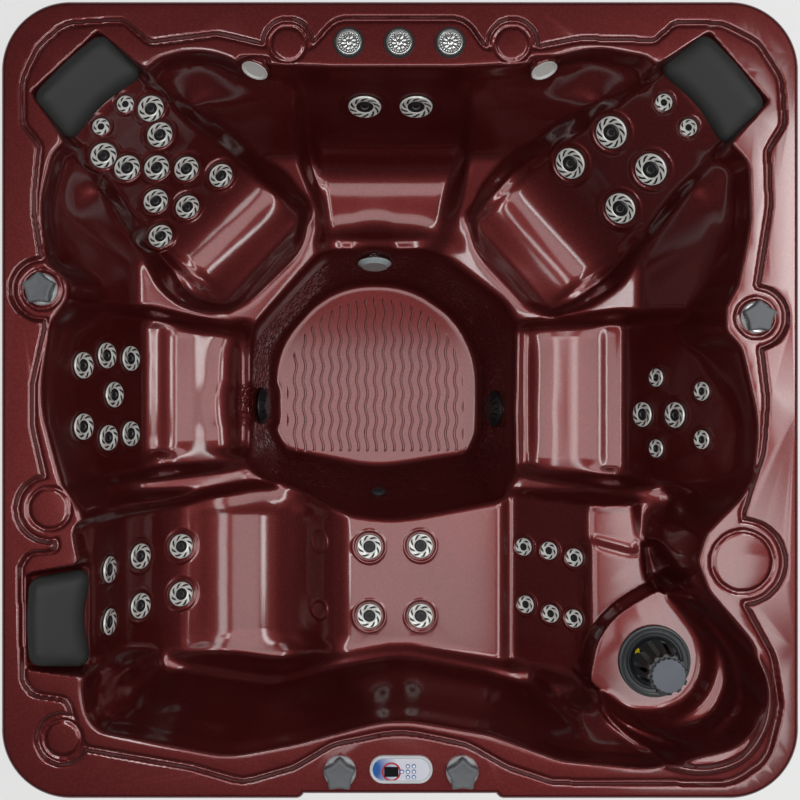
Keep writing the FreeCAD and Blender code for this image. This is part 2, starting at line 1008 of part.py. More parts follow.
# Knobs: x, y and the height of the deck they stand on
inner_deck_height = tub_height - deck_step
deck_under = tub_height - deck_thickness
knob_places = {
    "left_diverter_knob": (left_pod[0], left_pod[1], inner_deck_height),
    "right_diverter_knob": (right_pod[0], right_pod[1], inner_deck_height),
    "left_air_knob": (-160.0, front + 76, tub_height),
    "right_air_knob": (166.0, front + 76, tub_height),
}
rear_valve_places = {
    "rear_valve_left": -137.0,
    "rear_valve_middle": -2.0,
    "rear_valve_right": 134.0,
}
rear_valve_y = rear - 111


def knob(x, y, deck):
    """Five-pointed knob on its stem."""
    star = []
    for i in range(5):
        tip = math.radians(90 + 72 * i)
        dip = tip + math.radians(36)
        star.append((knob_radius * math.cos(tip), knob_radius * math.sin(tip), 7))
        star.append((knob_dip * math.cos(dip), knob_dip * math.sin(dip), 22))
    low = deck + collar_height + 2
    head = slab(star, low, low + 0.7 * knob_height)
    small = [(0.9 * px, 0.9 * py, r) for px, py, r in star]
    crown = loft((star, low + 0.7 * knob_height), (small, low + knob_height))
    hub = Part.makeCylinder(collar_radius - 17, 8, Vector(0, 0, low - 8))
    stem = Part.makeCylinder(stem_radius, 44, Vector(0, 0, low - 44))
    return turned(joined([head, crown, hub, stem]), 0, x, y)


def collar(x, y, deck):
    """Bright ring that the knob turns in."""
    inner = collar_radius - 17 + 2 * run_gap
    top = deck + collar_height
    ring = revolved([
        (inner, deck),
        (collar_radius, deck),
        (collar_radius, top - 5),
        (collar_radius - 4, top),
        (inner, top),
    ])
    return turned(ring, 0, x, y)


def valve(x, y, deck):
    """Valve body hung under the deck, with a neck for the knob's stem."""
    neck = stem_radius + 8
    body = revolved([
        (stem_radius + run_gap, deck - 1),
        (neck, deck - 1),
        (neck, deck_under - seat_gap),
        (valve_radius, deck_under - seat_gap),
        (valve_radius, deck_under - valve_depth),
        (pipe_radius - pipe_wall, deck_under - valve_depth),
        (pipe_radius - pipe_wall, deck_under - valve_depth + 14),
        (stem_radius + run_gap, deck_under - valve_depth + 14),
    ])
    return turned(body, 0, x, y)


def rear_cap(x):
    """Round turning cap with a grip bar, on its stem."""
    low = inner_deck_height + 1.2
    high = low + rear_cap_height
    cap = revolved([
        (0, low - 30),
        (stem_radius, low - 30),
        (stem_radius, low),
        (rear_cap_radius, low),
        (rear_cap_radius, high - 4),
        (rear_cap_radius - 4, high),
        (rear_cap_radius - 11, high),
        (rear_cap_radius - 14, high - 3),
        (0, high - 3),
    ])
    bar = Part.makeBox(2 * (rear_cap_radius - 14), 9, 4, Vector(14 - rear_cap_radius, -4.5, high - 3.5))
    return turned(cap.fuse(bar), 0, x, rear_valve_y)


def rear_ring(x):
    """Dark ring and body that carry a rear cap."""
    inner = rear_cap_radius + run_gap
    ring = inner + rear_ring_width
    neck = stem_radius + 6
    body = revolved([
        (stem_radius + run_gap, deck_under - 40),
        (valve_radius, deck_under - 40),
        (valve_radius, deck_under - seat_gap),
        (neck, deck_under - seat_gap),
        (neck, inner_deck_height + 0.2),
        (ring, inner_deck_height + 0.2),
        (ring, inner_deck_height + 5),
        (inner, inner_deck_height + 5),
        (inner, inner_deck_height + 0.8),
        (stem_radius + run_gap, inner_deck_height + 0.8),
    ])
    return turned(body, 0, x, rear_valve_y)


# Control panel
panel_x = 3.0
panel_y = front + 82
button_columns = (2.0, 18.0, 34.0)
button_rows = (9.0, -5.5, -20.0)
button_cells = [(1, 0), (2, 0), (0, 1), (1, 1), (2, 1), (1, 2), (2, 2)]
display_x = panel_x - 26
display_y = panel_y - 6


def button_place(i):
    column, row = button_cells[i]
    return panel_x + button_columns[column], panel_y + button_rows[row]


def panel_outline(inset):
    half, wide = panel_length / 2 - inset, panel_width / 2 - inset
    return [
        (panel_x - half, panel_y - wide, 0.98 * wide),
        (panel_x + half, panel_y - wide, 0.98 * wide),
        (panel_x + half, panel_y + wide, 0.98 * wide),
        (panel_x - half, panel_y + wide, 0.98 * wide),
    ]


def box_at(x, y, long, wide, low, high):
    return Part.makeBox(long, wide, high - low, Vector(x - long / 2, y - wide / 2, low))


def make_control_panel():
    top = tub_height + panel_plate
    plate = slab(panel_outline(0), tub_height, top)
    body = slab(panel_outline(10), tub_height - panel_depth, tub_height)
    panel = plate.fuse(body)
    panel = panel.cut(box_at(display_x, display_y, display_length, display_width, top - 2.5, top + 5))
    for i in range(len(button_cells)):
        x, y = button_place(i)
        panel = panel.cut(cylinder(button_radius + run_gap, Vector(x, y, top - 12), Vector(x, y, top + 5)))
    return panel


def make_display():
    top = tub_height + panel_plate
    gap = 2 * seat_gap
    return box_at(display_x, display_y, display_length - gap, display_width - gap, top - 2.5, top)


def make_button(i):
    """Push button with a domed top."""
    x, y = button_place(i)
    top = tub_height + panel_plate + button_rise
    button = revolved([
        (0, top - 12),
        (button_radius, top - 12),
        (button_radius, top - 0.8),
        (button_radius - 1.2, top),
        (0, top),
    ])
    return turned(button, 0, x, y)


def make_canister():
    """Round can under the filter shelf, with a flange and a guide ring."""
    shelf = filter_shelf_height
    bore = canister_radius - canister_wall
    guide = cage_radius + 2 * run_gap
    top = shelf + seat_gap + flange_height
    low = shelf - canister_depth
    can = revolved([
        (0, low),
        (canister_radius, low),
        (canister_radius, shelf + seat_gap),
        (canister_radius + flange_width, shelf + seat_gap),
        (canister_radius + flange_width, top - 4),
        (canister_radius + flange_width - 4, top),
        (guide + 8, top),
        (guide, top - 5),
        (guide, top - 22),
        (guide + 6, top - 22),
        (bore, top - 34),
        (bore, low + canister_wall),
        (0, low + canister_wall),
    ])
    return turned(can, 0, filter_x, filter_y)


def make_cartridge():
    """Pleated element with two end plates."""
    low = filter_shelf_height - canister_depth + canister_wall + seat_gap
    pleats = []
    for i in range(cartridge_pleats):
        angle = 2 * math.pi * i / cartridge_pleats
        step = math.pi / cartridge_pleats
        deep = 0.84 * cartridge_radius
        pleats.append((cartridge_radius * math.cos(angle), cartridge_radius * math.sin(angle), 0))
        pleats.append((deep * math.cos(angle + step), deep * math.sin(angle + step), 0))
    element = slab(pleats, low + 8, low + cartridge_height - 8)
    ends = []
    for z in (low, low + cartridge_height - 8):
        ends.append(Part.makeCylinder(cartridge_radius, 8, Vector(0, 0, z)))
    core = Part.makeCylinder(0.3 * cartridge_radius, cartridge_height + 2, Vector(0, 0, low - 1))
    return turned(joined([element] + ends).cut(core), 0, filter_x, filter_y)


def make_cage():
    """Slotted weir that stands in the canister's guide ring."""
    guide_top = filter_shelf_height + seat_gap + flange_height
    wall = 4.0
    top = guide_top + cage_height
    cage = revolved([
        (cage_radius - wall, guide_top - cage_skirt),
        (cage_radius, guide_top - cage_skirt),
        (cage_radius, guide_top + 8),
        (cage_top_radius, top),
        (0, top),
        (0, top - wall),
        (cage_top_radius - wall, top - wall),
        (cage_radius - wall, guide_top + 8 - wall),
    ])
    slot = Part.makeBox(2 * cage_radius, 15, cage_height - 44, Vector(0, -7.5, guide_top + 18))
    cuts = []
    for i in range(cage_slots):
        cuts.append(turned(slot, 360 * i / cage_slots, 0, 0))
    return turned(cage.cut(joined(cuts)), 0, filter_x, filter_y)


def make_skimmer_cap():
    """Lid on the cage with notches round its edge."""
    low = filter_shelf_height + seat_gap + flange_height + cage_height
    radius = cage_top_radius + 4
    lid = revolved([
        (0, low),
        (radius, low),
        (radius, low + cap_height - 3),
        (radius - 3, low + cap_height),
        (0, low + cap_height),
    ])
    notch = Part.makeCylinder(4, cap_height + 2, Vector(radius, 0, low - 1))
    cuts = []
    for i in range(2 * cage_slots):
        cuts.append(turned(notch, 180 * i / cage_slots, 0, 0))
    return turned(lid.cut(joined(cuts)), 0, filter_x, filter_y)


def wall_place(first, last, z, along):
    """Point and inward normal on a footwell wall between two numbered corners of its outlines."""
    top_z = footwell_edge + footwell_flare
    share = (z - footwell_floor) / (top_z - footwell_floor)
    top_start, top_end = [Vector(*footwell_top[i][:2], top_z) for i in (first, last)]
    low_start, low_end = [Vector(*footwell_bottom[i][:2], footwell_floor) for i in (first, last)]
    start = low_start + (top_start - low_start) * share
    end = low_end + (top_end - low_end) * share
    point = start + (end - start) * along
    up = (top_start + (top_end - top_start) * along) - (low_start + (low_end - low_start) * along)
    normal = (end - start).cross(up)
    normal.normalize()
    if normal.dot(Vector(0, 0, 0) - Vector(point.x, point.y, 0)) < 0:
        normal = normal * -1
    return point, normal


suction_height_z = 250.0
light_z = 300.0
drain_z = 300.0
suction_left_share = 0.63
suction_right_share = 0.39
light_share = 0.5
suction_left = wall_place(1, 2, suction_height_z, suction_left_share)
suction_right = wall_place(6, 7, suction_height_z, suction_right_share)
light_place = wall_place(0, 9, light_z, light_share)
wall_stand_off = 1.6


def make_suction_cover():
    """Domed grille with slots and a stem through the wall."""
    stem = pipe_radius
    low = wall_stand_off
    cover = revolved([
        (0, low + suction_height - 5),
        (stem - 4, low + suction_height - 5),
        (stem - 4, -shell_wall - suction_stem),
        (stem, -shell_wall - suction_stem),
        (stem, low),
        (suction_radius, low),
        (suction_radius, low + 5),
        (0.7 * suction_radius, low + suction_height),
        (0, low + suction_height),
    ])
    slot = Part.makeBox(0.4 * suction_radius, 5, suction_height, Vector(0.5 * suction_radius, -2.5, low + 3))
    cuts = []
    for i in range(16):
        cuts.append(turned(slot, 22.5 * i, 0, 0))
    return cover.cut(joined(cuts))


def make_round_fitting(radius, dome, stem, reach):
    """Domed disc on a stem through the wall."""
    low = wall_stand_off
    return revolved([
        (0, -reach),
        (stem, -reach),
        (stem, low),
        (radius, low),
        (radius, low + 4),
        (0.75 * radius, low + dome),
        (0, low + dome),
    ])


def drain_place():
    """Point and normal on the curved front wall of the footwell."""
    top_z = footwell_edge + footwell_flare
    low = Vector(*corner_arcs(footwell_bottom)[4][1], footwell_floor)
    top = Vector(*corner_arcs(footwell_top)[4][1], top_z)
    normal = Vector(1, 0, 0).cross(top - low)
    normal.normalize()
    if normal.y < 0:
        normal = normal * -1
    return low + (top - low) * ((drain_z - footwell_floor) / (top_z - footwell_floor)), normal


def hole_at(radius, point, normal):
    return placed(Part.makeCylinder(radius, 60, Vector(0, 0, -40)), point, normal)


def bore_down(radius, x, y):
    """Hole through the deck."""
    return cylinder(radius, Vector(x, y, deck_under - 10), Vector(x, y, tub_height + 10))


def fitting_holes():
    """Holes in the shell for everything but the jets."""
    holes = [
        hole_at(pipe_radius + run_gap, *suction_left),
        hole_at(pipe_radius + run_gap, *suction_right),
        hole_at(0.5 * light_radius + run_gap, *light_place),
        hole_at(0.5 * drain_radius + run_gap, *drain_place()),
    ]
    for x, y, _ in knob_places.values():
        holes.append(bore_down(stem_radius + 8 + run_gap, x, y))
    for x in rear_valve_places.values():
        holes.append(bore_down(stem_radius + 6 + run_gap, x, rear_valve_y))
    holes.append(slab(panel_outline(10 - run_gap), deck_under - 10, tub_height + 10))
    can = canister_radius + run_gap
    low = Vector(filter_x, filter_y, filter_shelf_height - 30)
    high = Vector(filter_x, filter_y, filter_shelf_height + 20)
    holes.append(cylinder(can, low, high))
    return holes + [pillow_pin_hole(*place) for place in pillow_pin_places()]


def bed_frame(start, end, degrees, x, y):
    """Middle, outward direction and normal of a sloping pillow bed."""
    (s0, z0), (s1, z1) = start, end
    turn = FreeCAD.Rotation(Vector(0, 0, 1), degrees)
    size = math.hypot(s1 - s0, z1 - z0)
    middle = turn.multVec(Vector((s0 + s1) / 2, 0, 0)) + Vector(x, y, (z0 + z1) / 2)
    out = turn.multVec(Vector((s1 - s0) / size, 0, (z1 - z0) / size))
    normal = turn.multVec(Vector((z0 - z1) / size, 0, (s1 - s0) / size))
    return middle, out, normal


corner_bed = ((pillow_bed_edge, tub_height - pillow_bed_drop), (pillow_bed_end, tub_height - pillow_bed_lip))
lounge_bed = ((-lounge_bed_edge[0], lounge_bed_edge[1]), (-lounge_bed_start[0], lounge_bed_start[1]))
pillow_beds = {
    "corner_pillow_left": bed_frame(*corner_bed, *corner_left[1:]),
    "corner_pillow_right": bed_frame(*corner_bed, *corner_right[1:]),
    "lounge_pillow": bed_frame(*lounge_bed, 180, 0, -594.0),
}
corner_pillows = ("corner_pillow_left", "corner_pillow_right")
pillow_depths = {
    "corner_pillow_left": pillow_depth,
    "corner_pillow_right": pillow_depth,
    "lounge_pillow": lounge_pillow_depth,
}


def bed_placement(name):
    """Middle of a pillow on its bed, which it overhangs on the inner side."""
    middle, out, normal = pillow_beds[name]
    reach = pillow_overhang if name in corner_pillows else 0.0
    return FreeCAD.Placement(middle - out * reach, FreeCAD.Rotation(out, normal.cross(out), normal, "XYZ"))


def pillow_pin_places():
    """Placement of each push pin, two to a pillow."""
    places = []
    for name in pillow_beds:
        for side in (-1, 1):
            spot = FreeCAD.Placement(Vector(0, side * 0.3 * pillow_width, 0), FreeCAD.Rotation())
            places.append((bed_placement(name).multiply(spot),))
    return places


def pillow_pin(place):
    """Push pin with a barbed end below the shell."""
    high = 14.0
    pin = revolved([
        (0, high - pin_length - 10),
        (0.6 * pin_radius, high - pin_length - 10),
        (pin_radius + 2.5, -shell_wall - 2),
        (pin_radius, -shell_wall - 2),
        (pin_radius, high),
        (0, high),
    ])
    pin.Placement = place
    return pin


def pillow_pin_hole(place):
    hole = Part.makeCylinder(pin_radius + run_gap, 60, Vector(0, 0, -30))
    hole.Placement = place
    return hole


def make_pillow(name):
    """Head pillow with a crown, drawn-in sides and a hollowed inner edge."""
    deep, wide = pillow_depths[name] / 2, pillow_width / 2
    outline = flip([
        (deep, -0.86 * wide, 30),
        (deep + 6, 0, 400),
        (deep, 0.86 * wide, 30),
        (-0.82 * deep, wide, 26),
        (-0.55 * deep, 0, 260),
        (-0.82 * deep, -wide, 26),
    ])
    layers = ((0.0, -8.0), (0.3, 0.0), (0.55, 0.0), (0.8, -7.0), (0.94, -17.0), (1.0, -32.0))
    sections = []
    for share, inset in layers:
        sections.append((grown(outline, inset), seat_gap + share * pillow_thickness))
    pillow = loft(*sections)
    for side in (-1, 1):
        socket = Part.makeCylinder(pin_radius + run_gap, 15, Vector(0, side * 0.3 * pillow_width, 0))
        pillow = pillow.cut(socket)
    pillow.Placement = bed_placement(name)
    return pillow


# Cabinet
cabinet_half_x = tub_width / 2 - cabinet_inset
cabinet_half_y = tub_length / 2 - cabinet_inset
post_x = cabinet_half_x - post_radius
post_y = cabinet_half_y - post_radius
panel_high = tub_height - panel_top
frame_half_x = cabinet_half_x - panel_thickness - seat_gap
frame_half_y = cabinet_half_y - panel_thickness - seat_gap


def screw_spots(half):
    """Screw positions across a panel, with their heights."""
    spots = []
    for z in (panel_lift + 30, panel_high - 120):
        for share in (-0.92, -0.31, 0.31, 0.92):
            spots.append((share * half, z))
    return spots


def cabinet_panel(half):
    """Grooved panel along X with its outer face on Y = 0."""
    length = 2 * half - 2 * seat_gap
    panel = Part.makeBox(length, panel_thickness, panel_high - panel_lift, Vector(-length / 2, 0, panel_lift))
    count = int(length / plank_width)
    cuts = []
    for i in range(1, count):
        x = -length / 2 + length * i / count
        cuts.append(
            Part.makeBox(
                plank_groove, plank_groove_depth + 1, panel_high,
                Vector(x - plank_groove / 2, -1, panel_lift + 40),
            )
        )
    for x, z in screw_spots(half):
        hole_start = Vector(x, -1, z)
        cuts.append(Part.makeCylinder(screw_radius + run_gap, panel_thickness + 2, hole_start, Vector(0, 1, 0)))
    return panel.cut(Part.Compound(cuts))


def panel_screw(x, z):
    """Round-headed screw in a panel hole."""
    head_start = Vector(x, -screw_head_height, z)
    head = Part.makeCylinder(screw_head_radius, screw_head_height, head_start, Vector(0, 1, 0))
    shank = Part.makeCylinder(screw_radius, panel_thickness, Vector(x, 0, z), Vector(0, 1, 0))
    return head.fuse(shank)


panel_sides = {
    "front_panel": (post_x, 0, 0, -cabinet_half_y),
    "right_panel": (post_y, 90, cabinet_half_x, 0),
    "rear_panel": (post_x, 180, 0, cabinet_half_y),
    "left_panel": (post_y, 270, -cabinet_half_x, 0),
}


def make_corner_posts():
    """Rounded covers at the four cabinet corners."""
    ring = cylinder(post_radius, Vector(0, 0, panel_lift), Vector(0, 0, panel_high))
    ring = ring.cut(cylinder(post_radius - panel_thickness, Vector(0, 0, 0), Vector(0, 0, tub_height)))
    quarter = ring.common(Part.makeBox(post_radius, post_radius, tub_height))
    posts = []
    for degrees, sx, sy in ((0, 1, 1), (90, -1, 1), (180, -1, -1), (270, 1, -1)):
        posts.append(turned(quarter, degrees, sx * post_x, sy * post_y))
    return posts


def frame_outline(inset):
    radius = post_radius - panel_thickness - seat_gap - inset
    x, y = frame_half_x - inset, frame_half_y - inset
    return [(-x, -y, radius), (x, -y, radius), (x, y, radius), (-x, y, radius)]


def make_base_pan():
    """Shallow tray that the tub stands on."""
    tray = slab(frame_outline(0), 0, base_upstand)
    return tray.cut(slab(frame_outline(base_wall), base_thickness, base_upstand + 5))


def make_rails():
    """Bottom rails in the pan, and top rails under the deck."""
    inset = base_wall + seat_gap
    x, y = frame_half_x - inset, frame_half_y - inset
    low, high = base_thickness, base_thickness + rail_height
    end_x, end_y = post_x - 20, post_y - 20
    rails = []
    for side in (-1, 1):
        rails.append(box_at(0, side * (y - rail_thickness / 2), 2 * end_x, rail_thickness, low, high))
        rails.append(box_at(side * (x - rail_thickness / 2), 0, rail_thickness, 2 * end_y, low, high))
    top_low = deck_under - rail_height
    rear_half = rear_share * end_x
    rails.append(box_at(0, y - rail_thickness / 2, 2 * rear_half, rail_thickness, top_low, deck_under))
    reach_front, reach_rear = -380.0, 0.72 * end_y
    for side in (-1, 1):
        rails.append(box_at(
            side * (x - rail_thickness / 2),
            (reach_front + reach_rear) / 2,
            rail_thickness,
            reach_rear - reach_front,
            top_low,
            deck_under,
        ))
    return rails


def make_studs():
    """Upright studs between the rails, and full-height ones along the front."""
    inset = base_wall + seat_gap
    x, y = frame_half_x - inset, frame_half_y - inset
    low = base_thickness + rail_height
    top = deck_under - rail_height
    studs = []
    for share in (-0.55, 0.0, 0.55):
        studs.append(box_at(share * post_x, y - rail_thickness / 2, stud_width, rail_thickness, low, top))
    for side in (-1, 1):
        stud_x = side * (x - rail_thickness / 2)
        for stud_y in (-340.0, 60.0, rear_share * post_y):
            studs.append(box_at(stud_x, stud_y, rail_thickness, stud_width, low, top))
        for share in (0.38, 0.88):
            studs.append(box_at(
                side * share * post_x, rail_thickness / 2 - y, stud_width, rail_thickness, low, deck_under
            ))
    return studs


def make_cradle():
    """Open box beam that carries the footwell."""
    top = footwell_floor - shell_wall
    outer = box_at(-80, 60, 440, 380, base_thickness, top)
    return outer.cut(box_at(-80, 60, 360, 300, base_thickness - 1, top + 1))


# Equipment under the lounge
pump_y = -640.0
pumps = ((-1, -700.0), (1, 470.0))
pump_outlet = 16.0
suction_stem = 30.0
heater_end = 30.0
heater_x = -680.0
heater_y = front + 138
heater_z = 130.0


def make_motor(side, face_x):
    """Finned motor on a foot."""
    z = pump_axis_height
    start = face_x - side * wet_end_length
    base = Vector(start, pump_y, z)
    aim = Vector(-side, 0, 0)
    motor = cylinder(motor_radius, base, base + aim * motor_length)
    for i in range(5):
        step = base + aim * (40 + i * 34)
        ring = cylinder(motor_radius + 1, step, step + aim * 14)
        motor = motor.cut(ring.cut(cylinder(motor_radius - 5, step, step + aim * 14)))
    middle = start - side * motor_length / 2
    foot_top = z - 0.8 * motor_radius
    foot = box_at(middle, pump_y, 0.6 * motor_length, 1.4 * motor_radius, base_thickness, foot_top)
    post = box_at(middle, pump_y, 0.4 * motor_length, motor_radius, base_thickness, z - 0.5 * motor_radius)
    return joined([motor, foot, post])


def make_wet_end(side, face_x):
    """Pump volute with its inlet in front and outlet on top."""
    z = pump_axis_height
    aim = Vector(side, 0, 0)
    start = Vector(face_x - side * wet_end_length, pump_y, z)
    volute = cylinder(wet_end_radius, start, start + aim * 0.6 * wet_end_length)
    inlet = cylinder(pipe_radius, start, start + aim * wet_end_length)
    middle = start + aim * 0.3 * wet_end_length
    outlet = cylinder(pipe_radius, middle, middle + Vector(0, 0, wet_end_radius + pump_outlet))
    return joined([volute, inlet, outlet])


def make_heater():
    """Steel heater tube on two saddles."""
    start = Vector(heater_x, heater_y, heater_z)
    tube = cylinder(heater_radius, start, start + Vector(heater_length, 0, 0))
    far_end = start + Vector(heater_length + heater_end, 0, 0)
    ends = cylinder(pipe_radius, start - Vector(heater_end, 0, 0), far_end)
    saddles = []
    for share in (0.2, 0.8):
        saddles.append(box_at(
            heater_x + share * heater_length, heater_y, 30, 1.4 * heater_radius, base_thickness, heater_z
        ))
    return joined([tube, ends] + saddles)


def make_control_box():
    long, wide, high = control_box_size
    box = box_at(0, front + 133, long, wide, base_thickness, base_thickness + high)
    lid = box_at(0, front + 133, long - 24, wide + 8, base_thickness + 16, base_thickness + high - 16)
    return box.fuse(lid)


def pipe(points, bend):
    """Round pipe along straight runs joined by arcs."""
    edges = []
    last = points[0]
    for before, here, after in zip(points, points[1:], points[2:]):
        back = (before - here).normalize()
        ahead = (after - here).normalize()
        half = back.getAngle(ahead) / 2
        run = bend / math.tan(half)
        deep = bend / math.sin(half) - bend
        start, end = here + back * run, here + ahead * run
        edges.append(Part.LineSegment(last, start).toShape())
        edges.append(Part.Arc(start, here + (back + ahead).normalize() * deep, end).toShape())
        last = end
    edges.append(Part.LineSegment(last, points[-1]).toShape())
    path = Part.Wire(edges)
    aim = points[1] - points[0]
    ring = Part.Wire(Part.makeCircle(pipe_radius, points[0], aim))
    bore = Part.Wire(Part.makeCircle(pipe_radius - pipe_wall, points[0], aim))
    return path.makePipeShell([ring], True, False).cut(path.makePipeShell([bore], True, False))


def make_pipes():
    """Suction lines to the pumps and pressure lines to the heater and the front valves."""
    bend = 1.6 * pipe_radius
    z = pump_axis_height
    over = z + 200
    outlet_z = z + wet_end_radius + pump_outlet
    pipes = []
    for (point, normal), (side, face_x) in ((suction_left, pumps[0]), (suction_right, pumps[1])):
        start = point - normal * (shell_wall + suction_stem)
        elbow = start - normal * 75
        turn_x = face_x + side * 90
        pipes.append(pipe([
            start,
            elbow,
            Vector(turn_x, elbow.y, elbow.z),
            Vector(turn_x, pump_y, elbow.z),
            Vector(turn_x, pump_y, z),
            Vector(face_x, pump_y, z),
        ], bend))
    outlets = [face_x - side * 0.7 * wet_end_length for side, face_x in pumps]
    valve_z = deck_under - valve_depth
    heater_start = heater_x - heater_end
    heater_stop = heater_x + heater_length + heater_end
    pipes.append(pipe([
        Vector(outlets[0], pump_y, outlet_z),
        Vector(outlets[0], pump_y, over),
        Vector(outlets[0], heater_y, over),
        Vector(heater_start - 70, heater_y, over),
        Vector(heater_start - 70, heater_y, heater_z),
        Vector(heater_start, heater_y, heater_z),
    ], bend))
    ends = [knob_places["left_air_knob"], knob_places["right_air_knob"]]
    pipes.append(pipe([
        Vector(heater_stop, heater_y, heater_z),
        Vector(heater_stop + 80, heater_y, heater_z),
        Vector(heater_stop + 80, heater_y, valve_z - 190),
        Vector(ends[0][0], ends[0][1], valve_z - 80),
        Vector(ends[0][0], ends[0][1], valve_z),
    ], bend))
    pipes.append(pipe([
        Vector(outlets[1], pump_y, outlet_z),
        Vector(outlets[1], pump_y, over),
        Vector(outlets[1], heater_y, over),
        Vector(ends[1][0] + 66, heater_y, over),
        Vector(ends[1][0] + 66, heater_y, valve_z - 190),
        Vector(ends[1][0], ends[1][1], valve_z - 80),
        Vector(ends[1][0], ends[1][1], valve_z),
    ], bend))
    return pipes


def make_nodes():
    """Every node as name and list of solids."""
    nodes = {"shell": [make_shell()]}
    faces = {"neck": [], "small": [], "medium": [], "large": []}
    nozzles = {"neck": [], "small": [], "medium": [], "large": []}
    bodies, nuts = [], []
    for kind, point, normal, lift in jet_seats():
        front = point + normal * lift
        faces[kind].append(placed(jet_face(kind), front, normal))
        nozzles[kind].append(placed(jet_nozzle(kind), front, normal))
        bodies.append(placed(jet_body(kind), front, normal))
        nuts.append(placed(jet_nut(kind), point, normal))
    nodes["neck_jets"] = faces["neck"]
    nodes["small_jets"] = faces["small"]
    nodes["medium_jets"] = faces["medium"]
    for i, face in enumerate(faces["large"]):
        nodes[f"large_jet_{i + 1}"] = [face]
    nodes["large_jet_nozzles"] = nozzles["large"]
    nodes["jet_nozzles"] = nozzles["neck"] + nozzles["small"] + nozzles["medium"]
    nodes["jet_bodies"] = bodies
    nodes["jet_lock_nuts"] = nuts
    nodes["spout_lenses"] = [spout_lens(*place) for place in spout_places]
    for name, place in knob_places.items():
        nodes[name] = [knob(*place)]
    nodes["knob_collars"] = [collar(*place) for place in knob_places.values()]
    nodes["valve_bodies"] = [valve(*place) for place in knob_places.values()]
    for name, x in rear_valve_places.items():
        nodes[name] = [rear_cap(x)]
    nodes["rear_valve_rings"] = [rear_ring(x) for x in rear_valve_places.values()]
    nodes["control_panel"] = [make_control_panel()]
    nodes["display_window"] = [make_display()]
    for i in range(len(button_cells)):
        nodes[f"button_{i + 1}"] = [make_button(i)]
    nodes["filter_canister"] = [make_canister()]
    nodes["filter_cartridge"] = [make_cartridge()]
    nodes["skimmer_cage"] = [make_cage()]
    nodes["skimmer_cap"] = [make_skimmer_cap()]
    cover = make_suction_cover()
    nodes["suction_covers"] = [placed(cover, *suction_left), placed(cover, *suction_right)]
    light = make_round_fitting(light_radius, 14, 0.5 * light_radius, 40)
    nodes["footwell_light"] = [placed(light, *light_place)]
    drain = make_round_fitting(drain_radius, 8, 0.5 * drain_radius, 40)
    nodes["drain_fitting"] = [placed(drain, *drain_place())]
    for name in pillow_beds:
        nodes[name] = [make_pillow(name)]
    nodes["pillow_pins"] = [pillow_pin(*place) for place in pillow_pin_places()]
    screws = []
    for name, (half, degrees, x, y) in panel_sides.items():
        nodes[name] = [turned(cabinet_panel(half), degrees, x, y)]
        screws += [turned(panel_screw(*spot), degrees, x, y) for spot in screw_spots(half)]
    nodes["panel_screws"] = screws
    nodes["corner_posts"] = make_corner_posts()
    nodes["base_pan"] = [make_base_pan()]
    nodes["frame_rails"] = make_rails()
    nodes["frame_studs"] = make_studs()
    nodes["footwell_cradle"] = [make_cradle()]
    nodes["pump_motors"] = [make_motor(*pump) for pump in pumps]
    nodes["pump_wet_ends"] = [make_wet_end(*pump) for pump in pumps]
    nodes["heater"] = [make_heater()]
    nodes["control_box"] = [make_control_box()]
    nodes["water_pipes"] = make_pipes()
    return nodes


def export(nodes):
    for name, solids in nodes.items():
        shape = solids[0] if len(solids) == 1 else Part.Compound(solids)
        shape.exportStep(f"parts/{name}.step")


export(make_nodes())
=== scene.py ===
"""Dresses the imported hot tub: moulded shell, foam pillows, fittings, cabinet and studio.

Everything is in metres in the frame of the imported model. The front, with the
control panel, faces -Y.
"""

import json
import logging
import math
from collections.abc import Sequence
from dataclasses import dataclass, field
from enum import Enum
from typing import Any

import bmesh
import bpy
import numpy as np
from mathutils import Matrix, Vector
from mathutils.bvhtree import BVHTree

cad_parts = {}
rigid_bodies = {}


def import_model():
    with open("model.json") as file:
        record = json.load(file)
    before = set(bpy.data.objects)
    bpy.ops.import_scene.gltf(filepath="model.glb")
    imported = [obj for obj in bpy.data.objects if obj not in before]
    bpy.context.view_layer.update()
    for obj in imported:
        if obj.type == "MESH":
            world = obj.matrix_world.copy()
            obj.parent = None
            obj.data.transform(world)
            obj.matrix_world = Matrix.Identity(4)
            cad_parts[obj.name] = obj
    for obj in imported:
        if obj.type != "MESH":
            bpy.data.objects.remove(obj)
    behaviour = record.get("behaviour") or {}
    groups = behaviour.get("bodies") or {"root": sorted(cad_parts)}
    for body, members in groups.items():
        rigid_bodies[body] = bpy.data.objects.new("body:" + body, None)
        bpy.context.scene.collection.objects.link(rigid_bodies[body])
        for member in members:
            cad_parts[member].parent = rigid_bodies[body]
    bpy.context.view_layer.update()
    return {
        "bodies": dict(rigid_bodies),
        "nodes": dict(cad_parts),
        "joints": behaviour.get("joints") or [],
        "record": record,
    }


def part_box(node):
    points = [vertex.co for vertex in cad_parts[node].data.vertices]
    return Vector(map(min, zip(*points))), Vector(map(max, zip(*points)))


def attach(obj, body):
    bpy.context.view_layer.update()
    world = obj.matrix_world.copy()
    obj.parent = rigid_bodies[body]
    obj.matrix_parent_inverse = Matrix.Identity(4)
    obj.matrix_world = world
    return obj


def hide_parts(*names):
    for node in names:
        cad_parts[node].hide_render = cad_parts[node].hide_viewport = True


log = logging.getLogger("hot_tub")

Node = bpy.types.Node
Object = bpy.types.Object
Material = bpy.types.Material
Mesh = bpy.types.Mesh
Tree = bpy.types.NodeTree
Socket = bpy.types.NodeSocket
Array = np.ndarray

MM = 0.001
BODY = "tub"
UP = Vector((0.0, 0.0, 1.0))
DOWN = -UP


